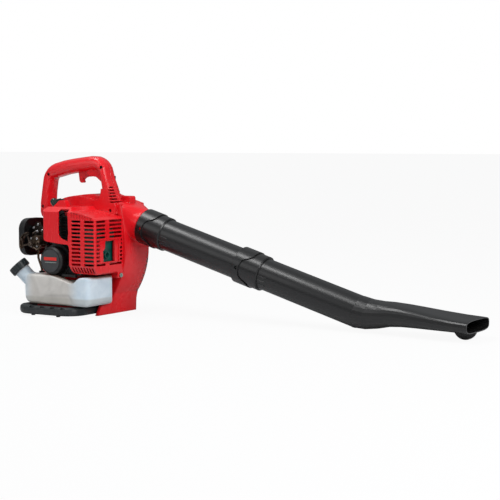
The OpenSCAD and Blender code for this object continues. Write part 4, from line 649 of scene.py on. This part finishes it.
def blow_moulded_tank():
    """The tank as a blow mould leaves it. The solid's mouth and grommet hole are stopped, the whole is
    skinned on an even grid, and its edges are relaxed. Then the rear top corner is drawn in to a slope that
    runs on from the neck: a point at signed distance s beyond the slope moves back by
    w * b * log(1 + exp(s / b)), where b is the blend and w falls off near the neck's axis. Last the root of
    the neck is smoothed and the mouth bored again."""
    work = bmesh.new()
    work.from_mesh(NODE["fuel_tank"].data)
    bmesh.ops.remove_doubles(work, verts=work.verts, dist=1e-6)
    lean, turn = math.radians(42.4), math.radians(207)
    mouth_rim, mouth_bore = 0.0166, 0.0155
    foot = Vector((-0.0655, -0.1057, 0.0498))
    axis = Vector((math.sin(lean) * math.cos(turn), math.sin(lean) * math.sin(turn), math.cos(lean)))
    upright = axis.to_track_quat("Z", "Y").to_matrix().to_4x4()

    def stopper(target, centre, frame_of, radius, depth):
        place = Matrix.Translation(centre) @ frame_of
        bmesh.ops.create_cone(target, cap_ends=True, segments=64, radius1=radius, radius2=radius, depth=depth,
                              matrix=place)

    stopper(work, foot + axis * 0.0745, upright, mouth_rim, 0.003)
    stopper(work, Vector((-0.064, -0.104, 0.0909)), Matrix.Identity(4), 0.0053, 0.0022)
    mesh = bpy.data.meshes.new("blow_moulded_tank")
    work.to_mesh(mesh)
    work.free()
    obj = bpy.data.objects.new("blow_moulded_tank", mesh)
    bpy.context.scene.collection.objects.link(obj)
    skin = obj.modifiers.new("even_skin", "REMESH")
    skin.mode = "VOXEL"
    skin.voxel_size = 0.0016
    relax = obj.modifiers.new("relaxed_edges", "SMOOTH")
    relax.factor = 0.5
    relax.iterations = 10

    def settle():
        shaped = bpy.data.meshes.new_from_object(obj.evaluated_get(bpy.context.evaluated_depsgraph_get()))
        obj.modifiers.clear()
        obj.data = shaped
        return shaped

    mesh = settle()
    points = np.empty(len(mesh.vertices) * 3)
    mesh.vertices.foreach_get("co", points)
    points = points.reshape(-1, 3)
    low, high = np.array([-0.0865, 0.060]), np.array([-0.0685, 0.0915])
    along = (high - low) / np.linalg.norm(high - low)
    outward = np.array([-along[1], along[0]])
    beyond = (points[:, [0, 2]] - low) @ outward
    offset = points - np.array(foot)
    height = offset @ np.array(axis)
    radius = np.linalg.norm(offset - height[:, None] * np.array(axis), axis=1)
    neck_radius = np.interp(height, [0, 0.034, 0.08], [0.009, 0.0185, 0.0185])
    free = np.clip((radius - neck_radius) / 0.010, 0, 1)
    free = free * free * (3 - 2 * free)
    blend = 0.0015
    shift = np.log1p(np.exp(np.clip(beyond / blend, -30, 30))) * blend * free
    points[:, [0, 2]] -= shift[:, None] * outward
    mesh.vertices.foreach_set("co", points.ravel())
    mesh.update()

    root = obj.vertex_groups.new(name="neck_root")
    weight = np.clip((radius - 0.012) / 0.004, 0, 1) * np.clip((0.042 - radius) / 0.01, 0, 1)
    weight *= np.clip(height / 0.01, 0, 1) * np.clip((0.062 - height) / 0.012, 0, 1)
    for index in np.flatnonzero(weight > 0.01):
        root.add([int(index)], float(weight[index]), "REPLACE")
    fillet = obj.modifiers.new("neck_fillet", "SMOOTH")
    fillet.vertex_group = "neck_root"
    fillet.factor = 0.5
    fillet.iterations = 60

    bore = bmesh.new()
    stopper(bore, foot + axis * 0.062, upright, mouth_bore, 0.034)
    cutter_mesh = bpy.data.meshes.new("mouth_cutter")
    bore.to_mesh(cutter_mesh)
    bore.free()
    cutter = bpy.data.objects.new("mouth_cutter", cutter_mesh)
    bpy.context.scene.collection.objects.link(cutter)
    cut = obj.modifiers.new("mouth", "BOOLEAN")
    cut.operation = "DIFFERENCE"
    cut.solver = "EXACT"
    cut.object = cutter
    mesh = settle()
    bpy.data.objects.remove(cutter)
    mesh.materials.clear()
    mesh.materials.append(tank_white)
    mesh.polygons.foreach_set("use_smooth", [True] * len(mesh.polygons))
    mesh.set_sharp_from_angle(angle=math.radians(50))
    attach(obj, "housing")
    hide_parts("fuel_tank")


blow_moulded_tank()

# ---------------------------------------------------------------- studio


def studio():
    """A white floor and sky, a broad key from the front right, a fill from the left and a strip above."""
    floor = bpy.data.meshes.new("studio_floor")
    half = 40.0
    seen_white = 0.93
    corners = [(-half, -half, 0), (half, -half, 0), (half, half, 0), (-half, half, 0)]
    floor.from_pydata(corners, [], [(0, 1, 2, 3)])
    ground = bpy.data.objects.new("studio_floor", floor)
    ground.location.z = cad_box[0][2] - 0.0002
    bpy.context.scene.collection.objects.link(ground)
    f = Finish("studio_paper")
    f.set(Base_Color=(0.62, 0.62, 0.63, 1.0), Roughness=0.7, Specular_IOR_Level=0.1)
    path = f.tree.nodes.new("ShaderNodeLightPath")
    glow = f.tree.nodes.new("ShaderNodeEmission")
    glow.inputs["Strength"].default_value = 1.0
    mix = f.tree.nodes.new("ShaderNodeMixShader")
    f.wire(f.math("MULTIPLY", path.outputs["Is Camera Ray"], seen_white), mix.inputs[0])
    f.wire(f.shader.outputs[0], mix.inputs[1])
    f.wire(glow.outputs[0], mix.inputs[2])
    f.wire(mix.outputs[0], f.out.inputs["Surface"])
    floor.materials.append(f.material)

    world = bpy.data.worlds.new("studio_sky")
    world.use_nodes = True
    bpy.context.scene.world = world
    tree = world.node_tree
    tree.nodes.clear()
    out = tree.nodes.new("ShaderNodeOutputWorld")
    dim = tree.nodes.new("ShaderNodeBackground")
    dim.inputs["Color"].default_value = (0.94, 0.97, 1.0, 1.0)
    lookup = tree.nodes.new("ShaderNodeTexCoord")
    split = tree.nodes.new("ShaderNodeSeparateXYZ")
    tree.links.new(lookup.outputs["Generated"], split.inputs[0])
    rise = tree.nodes.new("ShaderNodeMapRange")
    for key, number in (("From Min", 0.05), ("From Max", 0.75), ("To Min", 0.1), ("To Max", 0.5)):
        rise.inputs[key].default_value = number
    tree.links.new(split.outputs["Z"], rise.inputs["Value"])
    tree.links.new(rise.outputs[0], dim.inputs["Strength"])
    bright = tree.nodes.new("ShaderNodeBackground")
    bright.inputs["Color"].default_value = (1.0, 1.0, 1.0, 1.0)
    rays = tree.nodes.new("ShaderNodeLightPath")
    pick = tree.nodes.new("ShaderNodeMath")
    pick.operation = "MAXIMUM"
    tree.links.new(rays.outputs["Is Camera Ray"], pick.inputs[0])
    tree.links.new(rays.outputs["Is Transmission Ray"], pick.inputs[1])
    swap = tree.nodes.new("ShaderNodeMixShader")
    tree.links.new(pick.outputs[0], swap.inputs[0])
    tree.links.new(dim.outputs[0], swap.inputs[1])
    tree.links.new(bright.outputs[0], swap.inputs[2])
    tree.links.new(swap.outputs[0], out.inputs["Surface"])

    def lamp(name, where, aim, size, power):
        data = bpy.data.lights.new(name, "AREA")
        data.shape = "RECTANGLE"
        data.size, data.size_y = size
        data.energy = power
        obj = bpy.data.objects.new(name, data)
        obj.location = where
        obj.rotation_euler = (Vector(aim) - Vector(where)).to_track_quat("-Z", "Y").to_euler()
        bpy.context.scene.collection.objects.link(obj)

    lamp("key_softbox", (2.4, -0.9, 1.3), (0.2, 0, 0.15), (1.3, 1.2), 42)
    lamp("fill_softbox", (-1.1, -2.3, 1.2), (0.2, 0, 0.15), (1.6, 1.3), 9)
    lamp("top_softbox", (-0.4, -0.5, 2.3), (0.2, 0, 0.1), (2.4, 0.45), 32)


def camera():
    """A long lens from the front right, a little above the machine."""
    data = bpy.data.cameras.new("photo_camera")
    data.sensor_width = 36.0
    data.lens = 98.83
    obj = bpy.data.objects.new("photo_camera", data)
    obj.location = (1.9783, -2.48737, 0.38585)
    obj.rotation_euler = (math.radians(85.513), 0.0, math.radians(31.938))
    bpy.context.scene.collection.objects.link(obj)
    bpy.context.scene.camera = obj


studio()
camera()
bpy.context.scene.view_settings.view_transform = "Standard"
